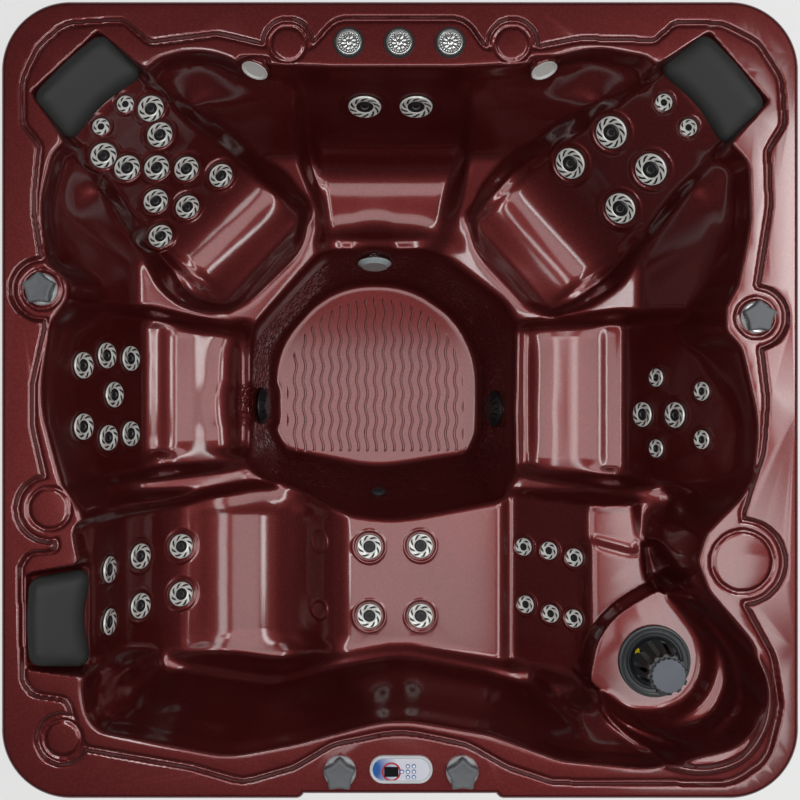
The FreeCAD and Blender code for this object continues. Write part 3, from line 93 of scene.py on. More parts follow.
def linear(hex_colour: str) -> tuple[float, float, float, float]:
    """Turns an sRGB hex colour into linear light.

    Args:
        hex_colour: A colour such as "#5e1f22".

    Returns:
        Red, green, blue and an alpha of 1.
    """
    parts = [int(hex_colour[i:i + 2], 16) / 255 for i in (1, 3, 5)]
    light = [p / 12.92 if p <= 0.04045 else ((p + 0.055) / 1.055) ** 2.4 for p in parts]
    return (light[0], light[1], light[2], 1.0)


def per_metre(size_mm: float) -> float:
    """Scale of a texture whose features are size_mm apart."""
    return 1000.0 / size_mm


def add_node(
    tree: Tree,
    kind: str,
    inputs: dict[str | int, Any] | None = None,
    **settings: Any,
) -> Node:
    """Adds one node with its settings, values and links.

    Args:
        tree: The material's or world's node tree.
        kind: Blender's name for the node type.
        inputs: Socket name or index to a value, or to an output socket to link from.
        settings: Properties of the node itself.

    Returns:
        The new node.
    """
    node = tree.nodes.new(kind)
    for name, value in settings.items():
        setattr(node, name, value)
    for key, value in (inputs or {}).items():
        if isinstance(value, Socket):
            tree.links.new(value, node.inputs[key])
        else:
            node.inputs[key].default_value = value
    return node


def smooth_step(low: float, high: float, value: Array) -> Array:
    """Rises softly from 0 at low to 1 at high."""
    t = np.clip((value - low) / (high - low), 0.0, 1.0)
    return t * t * (3.0 - 2.0 * t)


class Grain(Enum):
    """How the surface of a moulded or coated piece was finished."""

    SPARK_ERODED = 0.9
    SATIN = 0.4
    GLOSS = 0.12


@dataclass(frozen=True)
class Finish:
    """A finish with an even colour, fine mottle and grain."""

    name: str
    colour: str
    shade: str
    roughness: float
    metallic: float = 0.0
    ior: float = 1.46
    coat: float = 0.0
    coat_roughness: float = 0.06
    specular: float = 0.5
    mottle_mm: float = 60.0
    grain_mm: float = 4.0
    grain: Grain = Grain.SATIN
    grain_depth: float = 0.5 * MM
    stretch: tuple[float, float, float] = (1.0, 1.0, 1.0)
    rough_swing: float = 0.06
    least_rough: float = 0.02

    def shader(self, tree: Tree) -> Node:
        """Adds the shader with the values that are even all over the surface.

        Args:
            tree: The material's node tree.

        Returns:
            The shader, linked to the output.
        """
        shader = add_node(tree, "ShaderNodeBsdfPrincipled", {
            "Base Color": linear(self.colour),
            "Roughness": self.roughness,
            "Metallic": self.metallic,
            "Specular IOR Level": self.specular,
            "Coat Weight": self.coat,
            "Coat Roughness": self.coat_roughness,
        })
        if self.metallic == 0.0:
            shader.inputs["IOR"].default_value = self.ior
        out = add_node(tree, "ShaderNodeOutputMaterial", {"Surface": shader.outputs["BSDF"]})
        out.is_active_output = True
        return shader

    def place(self, tree: Tree) -> Socket:
        """Gives object positions in metres, stretched along the grain.

        Args:
            tree: The material's node tree.

        Returns:
            The position.
        """
        coords = add_node(tree, "ShaderNodeTexCoord")
        mapping = add_node(tree, "ShaderNodeMapping", {
            "Vector": coords.outputs["Object"],
            "Scale": self.stretch,
        })
        return mapping.outputs["Vector"]

    def vary(self, tree: Tree, shader: Node, tone_share: Socket, rough_share: Socket) -> None:
        """Lets the colour run to the second one, and the roughness run up and down a little.

        Args:
            tree: The material's node tree.
            shader: Its shader.
            tone_share: 0 for the first colour, 1 for the second.
            rough_share: 0 for the smoothest, 1 for the roughest.
        """
        tone = add_node(tree, "ShaderNodeMix", {
            "Factor": tone_share,
            "A": linear(self.colour),
            "B": linear(self.shade),
        }, data_type="RGBA")
        tree.links.new(tone.outputs["Result"], shader.inputs["Base Color"])
        rough = add_node(tree, "ShaderNodeMapRange", {
            "Value": rough_share,
            "To Min": max(self.roughness - self.rough_swing, self.least_rough),
            "To Max": self.roughness + self.rough_swing,
        })
        tree.links.new(rough.outputs["Result"], shader.inputs["Roughness"])

    def pattern(self, tree: Tree, shader: Node) -> None:
        """Mottles the colour and roughness and adds the grain as a bump.

        Args:
            tree: The material's node tree.
            shader: Its shader.
        """
        place = self.place(tree)
        mottle = add_node(tree, "ShaderNodeTexNoise", {
            "Vector": place,
            "Scale": per_metre(self.mottle_mm),
            "Detail": 4.0,
        })
        self.vary(tree, shader, mottle.outputs["Fac"], mottle.outputs["Fac"])
        grit = add_node(tree, "ShaderNodeTexNoise", {
            "Vector": place,
            "Scale": per_metre(self.grain_mm),
            "Detail": 2.0,
        })
        bump = add_node(tree, "ShaderNodeBump", {
            "Height": grit.outputs["Fac"],
            "Strength": 0.1 * self.grain.value,
            "Distance": self.grain_depth,
        })
        tree.links.new(bump.outputs["Normal"], shader.inputs["Normal"])

    def build(self) -> Material:
        """Makes the material once and hands it out again later.

        Returns:
            The material, with its nodes in place.
        """
        found = bpy.data.materials.get(self.name)
        if found:
            return found
        material = bpy.data.materials.new(self.name)
        material.use_nodes = True
        material.node_tree.nodes.clear()
        self.pattern(material.node_tree, self.shader(material.node_tree))
        return material


@dataclass(frozen=True)
class PearlAcrylic(Finish):
    """Vacuum-formed acrylic with mica flakes under a clear gloss face."""

    flake_mm: float = 2.4
    flake_from: float = 0.45
    flake_share: float = 0.5
    cloud_mm: float = 240.0
    grip_mm: float = 22.0
    pebble_edge: float = 0.16
    grip_low: float = 120.0 * MM
    grip_high: float = 365.0 * MM
    grip_fade: float = 25.0 * MM
    well_middle: tuple[float, float, float] = (-84.0 * MM, 46.0 * MM, 0.0)
    well_reach: float = 500.0 * MM
    floor_low: float = 113.0 * MM
    floor_high: float = 119.0 * MM
    floor_reach: float = 305.0 * MM
    floor_front: float = 225.0 * MM
    wave_mm: float = 30.5
    wave_length_mm: float = 92.0
    wave_swing: float = 4.5 * MM
    wave_fade: float = 12.0 * MM
    crest_from: float = 0.55
    crest_full: float = 0.97
    relief_depth: float = 2.2 * MM

    def pattern(self, tree: Tree, shader: Node) -> None:
        """Adds the flakes, the slow change of gloss and the footwell's moulded grip.

        Args:
            tree: The material's node tree.
            shader: Its shader.
        """
        place = self.place(tree)
        # Real mica is 0.1 mm across; it is drawn this coarse so that it shows at all
        flakes = add_node(tree, "ShaderNodeTexVoronoi", {
            "Vector": place,
            "Scale": per_metre(self.flake_mm),
        })
        spread = add_node(tree, "ShaderNodeSeparateColor", {"Color": flakes.outputs["Color"]})
        glint = add_node(tree, "ShaderNodeMapRange", {
            "Value": spread.outputs["Red"],
            "From Min": self.flake_from,
            "To Max": self.flake_share,
        })
        clouds = add_node(tree, "ShaderNodeTexNoise", {
            "Vector": place,
            "Scale": per_metre(self.cloud_mm),
            "Detail": 3.0,
        })
        self.vary(tree, shader, glint.outputs["Result"], clouds.outputs["Fac"])
        relief = add_node(tree, "ShaderNodeMath", {
            0: self.grip(tree, place),
            1: self.waves(tree, place),
        }, operation="ADD")
        bump = add_node(tree, "ShaderNodeBump", {
            "Height": relief.outputs["Value"],
            "Strength": 1.0,
            "Distance": self.relief_depth,
        })
        tree.links.new(bump.outputs["Normal"], shader.inputs["Normal"])
        tree.links.new(bump.outputs["Normal"], shader.inputs["Coat Normal"])

    def within(self, tree: Tree, limits: Sequence[tuple[Socket, float, float]]) -> Socket:
        """Marks where every one of some values is past its limit.

        Args:
            tree: The material's node tree.
            limits: A value, where its share is 0 and where its share is 1.

        Returns:
            The product of the shares.
        """
        total: Socket | float = 1.0
        for value, zero, one in limits:
            share = add_node(tree, "ShaderNodeMapRange", {
                "Value": value,
                "From Min": zero,
                "From Max": one,
            }, interpolation_type="SMOOTHSTEP")
            product = add_node(tree, "ShaderNodeMath", {
                0: share.outputs["Result"],
                1: total,
            }, operation="MULTIPLY")
            total = product.outputs["Value"]
        return total

    def grip(self, tree: Tree, place: Socket) -> Socket:
        """Height of the pebbled grip on the footwell's wall.

        Args:
            tree: The material's node tree.
            place: Position on the shell.

        Returns:
            Up to 1 on the pebbles, 0 everywhere else.
        """
        pebbles = add_node(tree, "ShaderNodeTexVoronoi", {
            "Vector": place,
            "Scale": per_metre(self.grip_mm),
        }, feature="DISTANCE_TO_EDGE")
        where = add_node(tree, "ShaderNodeSeparateXYZ", {"Vector": place})
        flat = add_node(tree, "ShaderNodeCombineXYZ", {"X": where.outputs["X"], "Y": where.outputs["Y"]})
        span = add_node(tree, "ShaderNodeVectorMath", {
            0: flat.outputs["Vector"],
            1: self.well_middle,
        }, operation="DISTANCE")
        return self.within(tree, (
            (pebbles.outputs["Distance"], 0.0, self.pebble_edge),
            (where.outputs["Z"], self.grip_low, self.grip_low + self.grip_fade),
            (where.outputs["Z"], self.grip_high, self.grip_high - self.grip_fade),
            (span.outputs["Value"], self.well_reach, self.well_reach - self.grip_fade),
        ))

    def waves(self, tree: Tree, place: Socket) -> Socket:
        """Height of the wavy grip lines on the footwell's floor.

        Args:
            tree: The material's node tree.
            place: Position on the shell.

        Returns:
            Up to 1 on the lines, 0 everywhere else.
        """
        local = add_node(tree, "ShaderNodeVectorMath", {0: place, 1: self.well_middle}, operation="SUBTRACT")
        where = add_node(tree, "ShaderNodeSeparateXYZ", {"Vector": local.outputs["Vector"]})
        x, y, z = (where.outputs[axis] for axis in "XYZ")
        phase = add_node(tree, "ShaderNodeMath", {
            0: y,
            1: 2 * math.pi * per_metre(self.wave_length_mm),
        }, operation="MULTIPLY")
        swing = add_node(tree, "ShaderNodeMath", {0: phase.outputs["Value"]}, operation="SINE")
        shifted = add_node(tree, "ShaderNodeMath", {
            0: swing.outputs["Value"],
            1: self.wave_swing,
            2: x,
        }, operation="MULTIPLY_ADD")
        turns = add_node(tree, "ShaderNodeMath", {
            0: shifted.outputs["Value"],
            1: 2 * math.pi * per_metre(self.wave_mm),
        }, operation="MULTIPLY")
        crest = add_node(tree, "ShaderNodeMath", {0: turns.outputs["Value"]}, operation="COSINE")
        ahead = add_node(tree, "ShaderNodeMath", {0: y, 1: 0.0}, operation="MAXIMUM")
        reach = add_node(tree, "ShaderNodeCombineXYZ", {"X": x, "Y": ahead.outputs["Value"]})
        span = add_node(tree, "ShaderNodeVectorMath", {0: reach.outputs["Vector"]}, operation="LENGTH")
        return self.within(tree, (
            (crest.outputs["Value"], self.crest_from, self.crest_full),
            (span.outputs["Value"], self.floor_reach, self.floor_reach - self.wave_fade),
            (y, -self.floor_front, self.wave_fade - self.floor_front),
            (z, self.floor_high, self.floor_low),
        ))


@dataclass(frozen=True)
class BoardGrain(Finish):
    """Extruded board with a wood grain rolled into its face, running upwards."""

    line_mm: float = 9.0
    dark_up_to: float = 0.34
    light_from: float = 0.66

    def pattern(self, tree: Tree, shader: Node) -> None:
        """Draws long grain lines in colour and bump.

        Args:
            tree: The material's node tree.
            shader: Its shader.
        """
        place = self.place(tree)
        lines = add_node(tree, "ShaderNodeTexNoise", {
            "Vector": place,
            "Scale": per_metre(self.line_mm),
            "Detail": 6.0,
            "Distortion": 0.6,
        })
        tone = add_node(tree, "ShaderNodeValToRGB", {"Fac": lines.outputs["Fac"]})
        ends = ((self.dark_up_to, self.shade), (self.light_from, self.colour))
        for element, (position, colour) in zip(tone.color_ramp.elements, ends):
            element.position = position
            element.color = linear(colour)
        tree.links.new(tone.outputs["Color"], shader.inputs["Base Color"])
        bump = add_node(tree, "ShaderNodeBump", {
            "Height": lines.outputs["Fac"],
            "Strength": 0.35,
            "Distance": 0.8 * MM,
        })
        tree.links.new(bump.outputs["Normal"], shader.inputs["Normal"])


@dataclass(frozen=True)
class RimmedButton(Finish):
    """A round button with its second colour on the rim."""

    rim_from: float = 0.33

    def pattern(self, tree: Tree, shader: Node) -> None:
        """Paints the rim, which starts at a share of the button's width from its middle.

        Args:
            tree: The material's node tree.
            shader: Its shader.
        """
        coords = add_node(tree, "ShaderNodeTexCoord")
        flat = add_node(tree, "ShaderNodeVectorMath", {
            0: coords.outputs["Generated"],
            1: (1.0, 1.0, 0.0),
        }, operation="MULTIPLY")
        away = add_node(tree, "ShaderNodeVectorMath", {
            0: flat.outputs["Vector"],
            1: (0.5, 0.5, 0.0),
        }, operation="DISTANCE")
        rim = add_node(tree, "ShaderNodeMath", {
            0: away.outputs["Value"],
            1: self.rim_from,
        }, operation="GREATER_THAN")
        tone = add_node(tree, "ShaderNodeMix", {
            "Factor": rim.outputs["Value"],
            "A": linear(self.colour),
            "B": linear(self.shade),
        }, data_type="RGBA")
        tree.links.new(tone.outputs["Result"], shader.inputs["Base Color"])


@dataclass(frozen=True)
class PrintedOverlay(Finish):
    """White bezel round a polyester film that is printed with a fade and a ring."""

    middle: tuple[float, float, float] = (0.0, 0.0, 0.0)
    half_long: float = 84.0 * MM
    half_wide: float = 37.0 * MM
    bezel: float = 8.0 * MM
    eye: tuple[float, float, float] = (0.0, 0.0, 0.0)
    eye_reach: float = 23.0 * MM
    eye_line: float = 2.6 * MM
    fade_from: float = 0.3
    fade_to: float = 0.9
    deep: str = "#17549c"
    pale: str = "#d3d3dd"
    line: str = "#b02a35"

    def pattern(self, tree: Tree, shader: Node) -> None:
        """Prints a fade from blue to pale lilac, with one ring round the display.

        Args:
            tree: The material's node tree.
            shader: Its shader.
        """
        coords = add_node(tree, "ShaderNodeTexCoord")
        source = tuple(m - o for m, o in zip(self.middle, (self.half_long, 0.0, 0.0)))
        span = add_node(tree, "ShaderNodeVectorMath", {
            0: coords.outputs["Object"],
            1: source,
        }, operation="DISTANCE")
        share = add_node(tree, "ShaderNodeMapRange", {
            "Value": span.outputs["Value"],
            "From Min": self.fade_from * self.half_long,
            "From Max": self.fade_to * self.half_long,
        })
        ground = add_node(tree, "ShaderNodeMix", {
            "Factor": share.outputs["Result"],
            "A": linear(self.deep),
            "B": linear(self.pale),
        }, data_type="RGBA")
        round_eye = add_node(tree, "ShaderNodeVectorMath", {
            0: coords.outputs["Object"],
            1: self.eye,
        }, operation="DISTANCE")
        inked = add_node(tree, "ShaderNodeMath", {
            0: round_eye.outputs["Value"],
            1: self.eye_reach,
            2: self.eye_line,
        }, operation="COMPARE")
        rings = add_node(tree, "ShaderNodeMix", {
            "Factor": inked.outputs["Value"],
            "A": ground.outputs["Result"],
            "B": linear(self.line),
        }, data_type="RGBA")
        tone = add_node(tree, "ShaderNodeMix", {
            "Factor": self.on_bezel(tree, coords.outputs["Object"]),
            "A": rings.outputs["Result"],
            "B": linear(self.colour),
        }, data_type="RGBA")
        tree.links.new(tone.outputs["Result"], shader.inputs["Base Color"])

    def on_bezel(self, tree: Tree, place: Socket) -> Socket:
        """Tells the bezel from the film inside it.

        Args:
            tree: The material's node tree.
            place: Position on the panel.

        Returns:
            1 on the bezel and 0 on the film.
        """
        local = add_node(tree, "ShaderNodeVectorMath", {0: place, 1: self.middle}, operation="SUBTRACT")
        size = add_node(tree, "ShaderNodeVectorMath", {0: local.outputs["Vector"]}, operation="ABSOLUTE")
        ends = add_node(tree, "ShaderNodeVectorMath", {
            0: size.outputs["Vector"],
            1: (self.half_long - self.half_wide, 0.0, 1.0),
        }, operation="SUBTRACT")
        past = add_node(tree, "ShaderNodeVectorMath", {
            0: ends.outputs["Vector"],
            1: (0.0, 0.0, 0.0),
        }, operation="MAXIMUM")
        span = add_node(tree, "ShaderNodeVectorMath", {0: past.outputs["Vector"]}, operation="LENGTH")
        outer = add_node(tree, "ShaderNodeMath", {
            0: span.outputs["Value"],
            1: self.half_wide - self.bezel,
        }, operation="GREATER_THAN")
        return outer.outputs["Value"]


# Cast acrylic sheet, vacuum formed: deep wine red, glossy, with a pearl sheen
ACRYLIC = PearlAcrylic(
    "pearl_acrylic", "#5d1616", "#7b2c2c", roughness=0.46, metallic=0.8, coat=1.0, coat_roughness=0.12,
)
# Closed-cell EVA foam with a moulded skin: soft charcoal with a fine pebble
PILLOW_FOAM = Finish(
    "eva_foam_skin", "#2a2b2a", "#323332", roughness=0.5, specular=0.22, grain_mm=3.0,
    grain=Grain.SPARK_ERODED,
)
# Stainless steel trim with a satin brush: its bright silver is a painted reflection, a near-white colour
# with little metal in it
JET_TRIM_PAINTED_REFLECTION = Finish(
    "satin_stainless_steel", "#e3e3de", "#cfcfca", roughness=0.36, metallic=0.22, mottle_mm=15.0,
)
# Black on each jet's trim: its outer edge is painted shade of the dark gap round the trim, drawn as a rubber
# gasket; also the black of the nozzle's mouth, hub and slot pockets
BLACK_RUBBER_AND_GAP_SHADE = Finish("epdm_gasket", "#16100f", "#1d1615", roughness=0.6)
# Chrome-plated ABS caps: bright over a moulded relief
CHROME = Finish(
    "chrome_plated_abs", "#b9bab8", "#a4a5a3", roughness=0.24, metallic=0.8, mottle_mm=12.0,
)
# Moulded ABS in black: jet nozzles, rings and grilles
BLACK_ABS = Finish("black_moulded_abs", "#121314", "#1b1c1e", roughness=0.42)
# Moulded ABS in mid grey with a spark-eroded face: star knobs
KNOB_ABS = Finish(
    "grey_textured_abs", "#57595c", "#626467", roughness=0.5, grain_mm=2.5, grain=Grain.SPARK_ERODED,
)
# Vacuum-metallised plastic collars under the knobs
COLLAR_METAL = Finish("metallised_collar", "#c6c7c8", "#aeb0b2", roughness=0.28, metallic=0.6)
# Glossy white ABS bezel of the control panel
WHITE_ABS = Finish("white_gloss_abs", "#c9cacb", "#bfc0c2", roughness=0.25, grain=Grain.GLOSS)
# Frosted white acrylic of the spout lenses
SPOUT_LENS = Finish("frosted_white_acrylic", "#cfcdca", "#c2c0bd", roughness=0.35)
# Clear lens with a milky back: footwell light
LIGHT_LENS = Finish("prismatic_lens", "#aeb9b9", "#8e9a9c", roughness=0.18, coat=0.6, mottle_mm=9.0)
# Dark grey PVC of the filter's well and basket
FILTER_PVC = Finish("dark_grey_pvc", "#2f3335", "#26292b", roughness=0.38)
# Blue-grey ABS cap of the floating basket
CAP_ABS = Finish("blue_grey_abs", "#585d66", "#4d525a", roughness=0.4)
# Yellow polypropylene clip on the basket
CLIP_PP = Finish("yellow_polypropylene", "#e0cb1c", "#d2bc16", roughness=0.45)
# Spun polyester filter cloth, pleated
FILTER_CLOTH = Finish(
    "pleated_polyester", "#d9d7cf", "#c4c1b6", roughness=0.9, grain_mm=2.0, grain=Grain.SPARK_ERODED,
)
# Smoked acrylic window of the display
DISPLAY_GLASS = Finish("smoked_display_window", "#0e1012", "#16191b", roughness=0.15, grain=Grain.GLOSS)
# Silicone rubber push buttons, pale with a blue rim
BUTTON_RUBBER = RimmedButton("pale_silicone", "#e4e8ee", "#2c5f9e", roughness=0.45)
# Foamed polymer board with a rolled wood grain, espresso brown
CABINET_BOARD = BoardGrain(
    "foamed_polymer_board", "#4a352b", "#33241d", roughness=0.55, stretch=(1.0, 1.0, 0.06),
)
# Corner posts in the same board, one tone darker
POST_BOARD = BoardGrain(
    "corner_post_board", "#3c2a22", "#291c17", roughness=0.55, stretch=(1.0, 1.0, 0.06),
)
# Sawn spruce frame inside the cabinet
TIMBER = BoardGrain(
    "sawn_spruce", "#c9a878", "#a98655", roughness=0.75, stretch=(0.2, 0.2, 1.0), line_mm=14.0,
)
# Thermoformed ABS base tray, black with a slight haze
BASE_ABS = Finish("black_base_abs", "#1c1d1e", "#26282a", roughness=0.6)
# White rigid PVC pipe and fittings
PVC_PIPE = Finish("white_rigid_pvc", "#dcdcd8", "#cfcfca", roughness=0.4)
# Black enamel on the motors
MOTOR_ENAMEL = Finish("motor_enamel", "#24272b", "#2e3237", roughness=0.4, coat=0.3)
# Drawn stainless steel: heater tube and screws
STEEL = Finish("drawn_stainless_steel", "#b9bbbd", "#a3a5a8", roughness=0.3, metallic=1.0)
# Powder-coated sheet steel box of the controls
POWDER_COAT = Finish(
    "grey_powder_coat", "#8b8f93", "#81858a", roughness=0.55, grain_mm=1.5, grain=Grain.SPARK_ERODED,
)


@dataclass
class Seat:
    """Where a round piece sits: the middle of its base, its axis and its size."""

    middle: Vector
    axis: Vector
    radius: float = 0.0
    low: Array = field(default_factory=lambda: np.zeros(3))
    high: Array = field(default_factory=lambda: np.zeros(3))

    def across(self) -> tuple[Vector, Vector]:
        """Finds two directions square to the axis.

        Returns:
            A level one and one uphill.
        """
        level = UP.cross(self.axis)
        first = level.normalized() if level.length > 0.01 else Vector((1.0, 0.0, 0.0))
        return first, self.axis.cross(first)


def mesh_points(mesh: Mesh) -> Array:
    """Vertex positions of a mesh.

    Args:
        mesh: The mesh.

    Returns:
        One row for each vertex.
    """
    points = np.empty(len(mesh.vertices) * 3)
    mesh.vertices.foreach_get("co", points)
    return points.reshape(-1, 3)


def plan_middle(node: str) -> tuple[float, float]:
    """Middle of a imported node's box in plan."""
    low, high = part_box(node)
    return (low.x + high.x) / 2, (low.y + high.y) / 2


def top_middle(node: str) -> Vector:
    """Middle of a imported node's box, at its top."""
    return Vector((*plan_middle(node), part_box(node)[1].z))


def seat_of(rows: Array) -> Seat:
    """Finds the axis, the widest circle and the base of one round solid.

    Args:
        rows: The solid's points.

    Returns:
        Its seat, with the middle at the foot of its widest part.
    """
    widest = 0.97
    axis = np.linalg.eigh(np.cov((rows - rows.mean(0)).T))[1][:, 0]
    seat = Seat(Vector(rows.mean(0)), Vector(axis if axis[2] > 0 else -axis))
    u, v = seat.across()
    frame = np.array([u, v, seat.axis])
    local = rows @ frame.T
    middle = (local.min(0) + local.max(0)) / 2
    out = np.hypot(local[:, 0] - middle[0], local[:, 1] - middle[1])
    middle[2] = local[out > widest * out.max(), 2].min()
    return Seat(Vector(middle @ frame), seat.axis, out.max(), rows.min(0), rows.max(0))


def seats(obj: Object) -> list[Seat]:
    """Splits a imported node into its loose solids.

    Args:
        obj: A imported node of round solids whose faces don't share vertices.

    Returns:
        One Seat for each solid.
    """
    points = mesh_points(obj.data)
    _, same = np.unique(np.round(points, 6), axis=0, return_inverse=True)
    same = same.reshape(-1)
    parent = np.arange(same.max() + 1)

    def root(i: int) -> int:
        """Finds the group that a vertex belongs to.

        Args:
            i: The vertex's number.

        Returns:
            The group's number.
        """
        while parent[i] != i:
            parent[i] = parent[parent[i]]
            i = parent[i]
        return i

    for edge in obj.data.edges:
        a, b = root(same[edge.vertices[0]]), root(same[edge.vertices[1]])
        parent[a] = b
    groups = np.array([root(i) for i in range(len(parent))])[same]
    return [seat_of(points[groups == group]) for group in np.unique(groups)]


@dataclass
class Row:
    """One ring of a turned form: radius and height, even or changing round the ring."""

    radius: float | Array
    height: float | Array
    paint: int = 0
    skew: float = 0.0


def rings(profile: Sequence[tuple[float, float]]) -> list[Row]:
    """Rings of a plain profile of radius and height in millimetres."""
    return [Row(radius * MM, height * MM) for radius, height in profile]


@dataclass(frozen=True)
class Slots:
    """Pockets from one ring of a turned form to another, counted in its sides."""

    first: int
    last: int
    spacing: int
    width: int
    depth: float


@dataclass
class MeshParts:
    """Points and painted faces of a piece that is put together from turned forms."""

    points: list[Vector] = field(default_factory=list)
    faces: list[tuple[int, ...]] = field(default_factory=list)
    paints: list[int] = field(default_factory=list)
    sharp_from: float = 38.0
    closed_below: float = 1.0 * MM

    def face(self, corners: tuple[int, ...], paint: int) -> None:
        """Adds one face."""
        self.faces.append(corners)
        self.paints.append(paint)

    def turned(
        self,
        seat: Seat,
        rows: list[Row],
        sides: int,
        slots: Slots | None = None,
    ) -> None:
        """Adds a form turned about a seat's axis, from its outer foot to its middle.

        Args:
            seat: Middle and axis.
            rows: The rings in order; a ring's paint covers the band to the next.
            sides: Points round each ring.
            slots: Pockets in the form, if it has any.
        """
        u, v = seat.across()
        angles = 2 * np.pi * np.arange(sides) / sides
        first = len(self.points)
        for row in rows:
            radius = np.broadcast_to(row.radius, sides)
            height = np.broadcast_to(row.height, sides)
            for r, h, a in zip(radius, height, angles + row.skew):
                out = u * (r * math.cos(a)) + v * (r * math.sin(a))
                self.points.append(seat.middle + out + seat.axis * h)

        def at(ring: int, side: int) -> int:
            """Number of the point on a ring."""
            return first + ring * sides + side % sides

        for ring, row in enumerate(rows[:-1]):
            for side in range(sides):
                if slots and slots.first <= ring < slots.last and side % slots.spacing < slots.width:
                    continue
                lower = (at(ring, side), at(ring, side + 1))
                upper = (at(ring + 1, side + 1), at(ring + 1, side))
                self.face(lower + upper, row.paint)
        last = len(rows) - 1
        if np.max(rows[last].radius) < self.closed_below:
            self.face(tuple(at(last, side) for side in range(sides)), rows[last].paint)
        if slots:
            for side in range(0, sides, slots.spacing):
                corners = [at(slots.first, side + s) for s in range(slots.width + 1)]
                corners += [at(slots.last, side + s) for s in range(slots.width, -1, -1)]
                self.sunk(corners, seat.axis * slots.depth, 1)

    def sunk(self, corners: list[int], drop: Vector, paint: int) -> None:
        """Adds a pocket with a flat floor below a loop of points.

        Args:
            corners: Numbers of the points, in order.
            drop: The way up from the floor.
            paint: The pocket's paint.
        """
        first = len(self.points)
        self.points += [self.points[c] - drop for c in corners]
        count = len(corners)
        for i in range(count):
            j = (i + 1) % count
            self.face((corners[i], corners[j], first + j, first + i), paint)
        self.face(tuple(range(first, first + count)), paint)

    def mesh(self, name: str) -> Mesh:
        """Makes the mesh, smooth but for its sharp edges.

        Args:
            name: The mesh's name.

        Returns:
            The mesh.
        """
        mesh = bpy.data.meshes.new(name)
        mesh.from_pydata([tuple(p) for p in self.points], [], self.faces)
        mesh.polygons.foreach_set("material_index", self.paints)
        mesh.polygons.foreach_set("use_smooth", np.ones(len(self.faces), bool))
        mesh.set_sharp_from_angle(angle=math.radians(self.sharp_from))
        return mesh


def new_object(name: str, mesh: Mesh, finishes: list[Finish], body: str = BODY) -> Object:
    """Links a mesh as a piece that rides on a body.

    Args:
        name: The piece's name.
        mesh: Its mesh, in place.
        finishes: Its finishes, in the order of its paints.
        body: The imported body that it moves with.

    Returns:
        The new object.
    """
    obj = bpy.data.objects.new(name, mesh)
    bpy.context.scene.collection.objects.link(obj)
    for finish in finishes:
        mesh.materials.append(finish.build())
    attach(obj, body)
    log.info("piece %s on %s", name, body)
    return obj


def applied(obj: Object) -> Mesh:
    """Mesh of an object with its modifiers applied.

    Args:
        obj: The object.

    Returns:
        A new mesh.
    """
    graph = bpy.context.evaluated_depsgraph_get()
    graph.update()
    return bpy.data.meshes.new_from_object(obj.evaluated_get(graph), depsgraph=graph)


@dataclass(frozen=True)
class Dish:
    """A seat that is rounded and hollowed along its depth, in millimetres and degrees."""

    x: float
    y: float
    turn: float
    half_deep: float
    half_wide: float
    soft: float
    hollow: float = 0.0


@dataclass(frozen=True)
class PlanCurve:
    """A smooth curve through plan points in millimetres."""

    line: tuple[tuple[float, float], ...]

    def points(self, steps: int = 14) -> Array:
        """Points of the curve in metres.

        Args:
            steps: Points from one plan point to the next.

        Returns:
            One row for each point.
        """
        knots = np.array(self.line) * MM
        ends = np.vstack([2 * knots[0] - knots[1], knots, 2 * knots[-1] - knots[-2]])
        rows = []
        for a, b, c, d in zip(ends[:-3], ends[1:-2], ends[2:-1], ends[3:]):
            square = 2 * a - 5 * b + 4 * c - d
            cube = 3 * b - a - 3 * c + d
            for s in np.arange(steps) / steps:
                rows.append(0.5 * (2 * b + (c - a) * s + square * s ** 2 + cube * s ** 3))
        return np.array(rows + [knots[-1]])


@dataclass(frozen=True)
class Bead(PlanCurve):
    """A moulded bead along a curve."""

    rise: float
    spread: float


# Beads that stand out of the bay round the filter
FILTER_BEADS = (
    Bead((
        (764, -541), (828, -589), (899, -676), (930, -747), (928, -834),
        (882, -899), (812, -939), (733, -939), (628, -899), (541, -812),
    ), rise=16.0 * MM, spread=6.5 * MM),
    Bead((
        (787, -538), (881, -615), (950, -693), (983, -770), (975, -864), (928, -942),
        (864, -978), (779, -986), (679, -956), (593, -898), (530, -803),
    ), rise=16.0 * MM, spread=6.5 * MM),
)
# Outlines of the two blank jet places on the knee of the lounge
BLANK_PLACES = tuple(
    Bead(tuple(
        (-251 + 24 * math.cos(math.radians(turn)), y + 29 * math.sin(math.radians(turn)))
        for turn in range(0, 361, 30)
    ), rise=3.2 * MM, spread=3.2 * MM)
    for y in (-439, -648)
)
# Outline of the filter's shelf
FILTER_SHELF = PlanCurve((
    (744, -540), (704, -558), (639, -599), (590, -647), (558, -704), (546, -752),
    (541, -809), (582, -841), (639, -882), (704, -902), (769, -896), (825, -866),
    (862, -817), (878, -752), (870, -688), (842, -630), (801, -582), (744, -540),
))


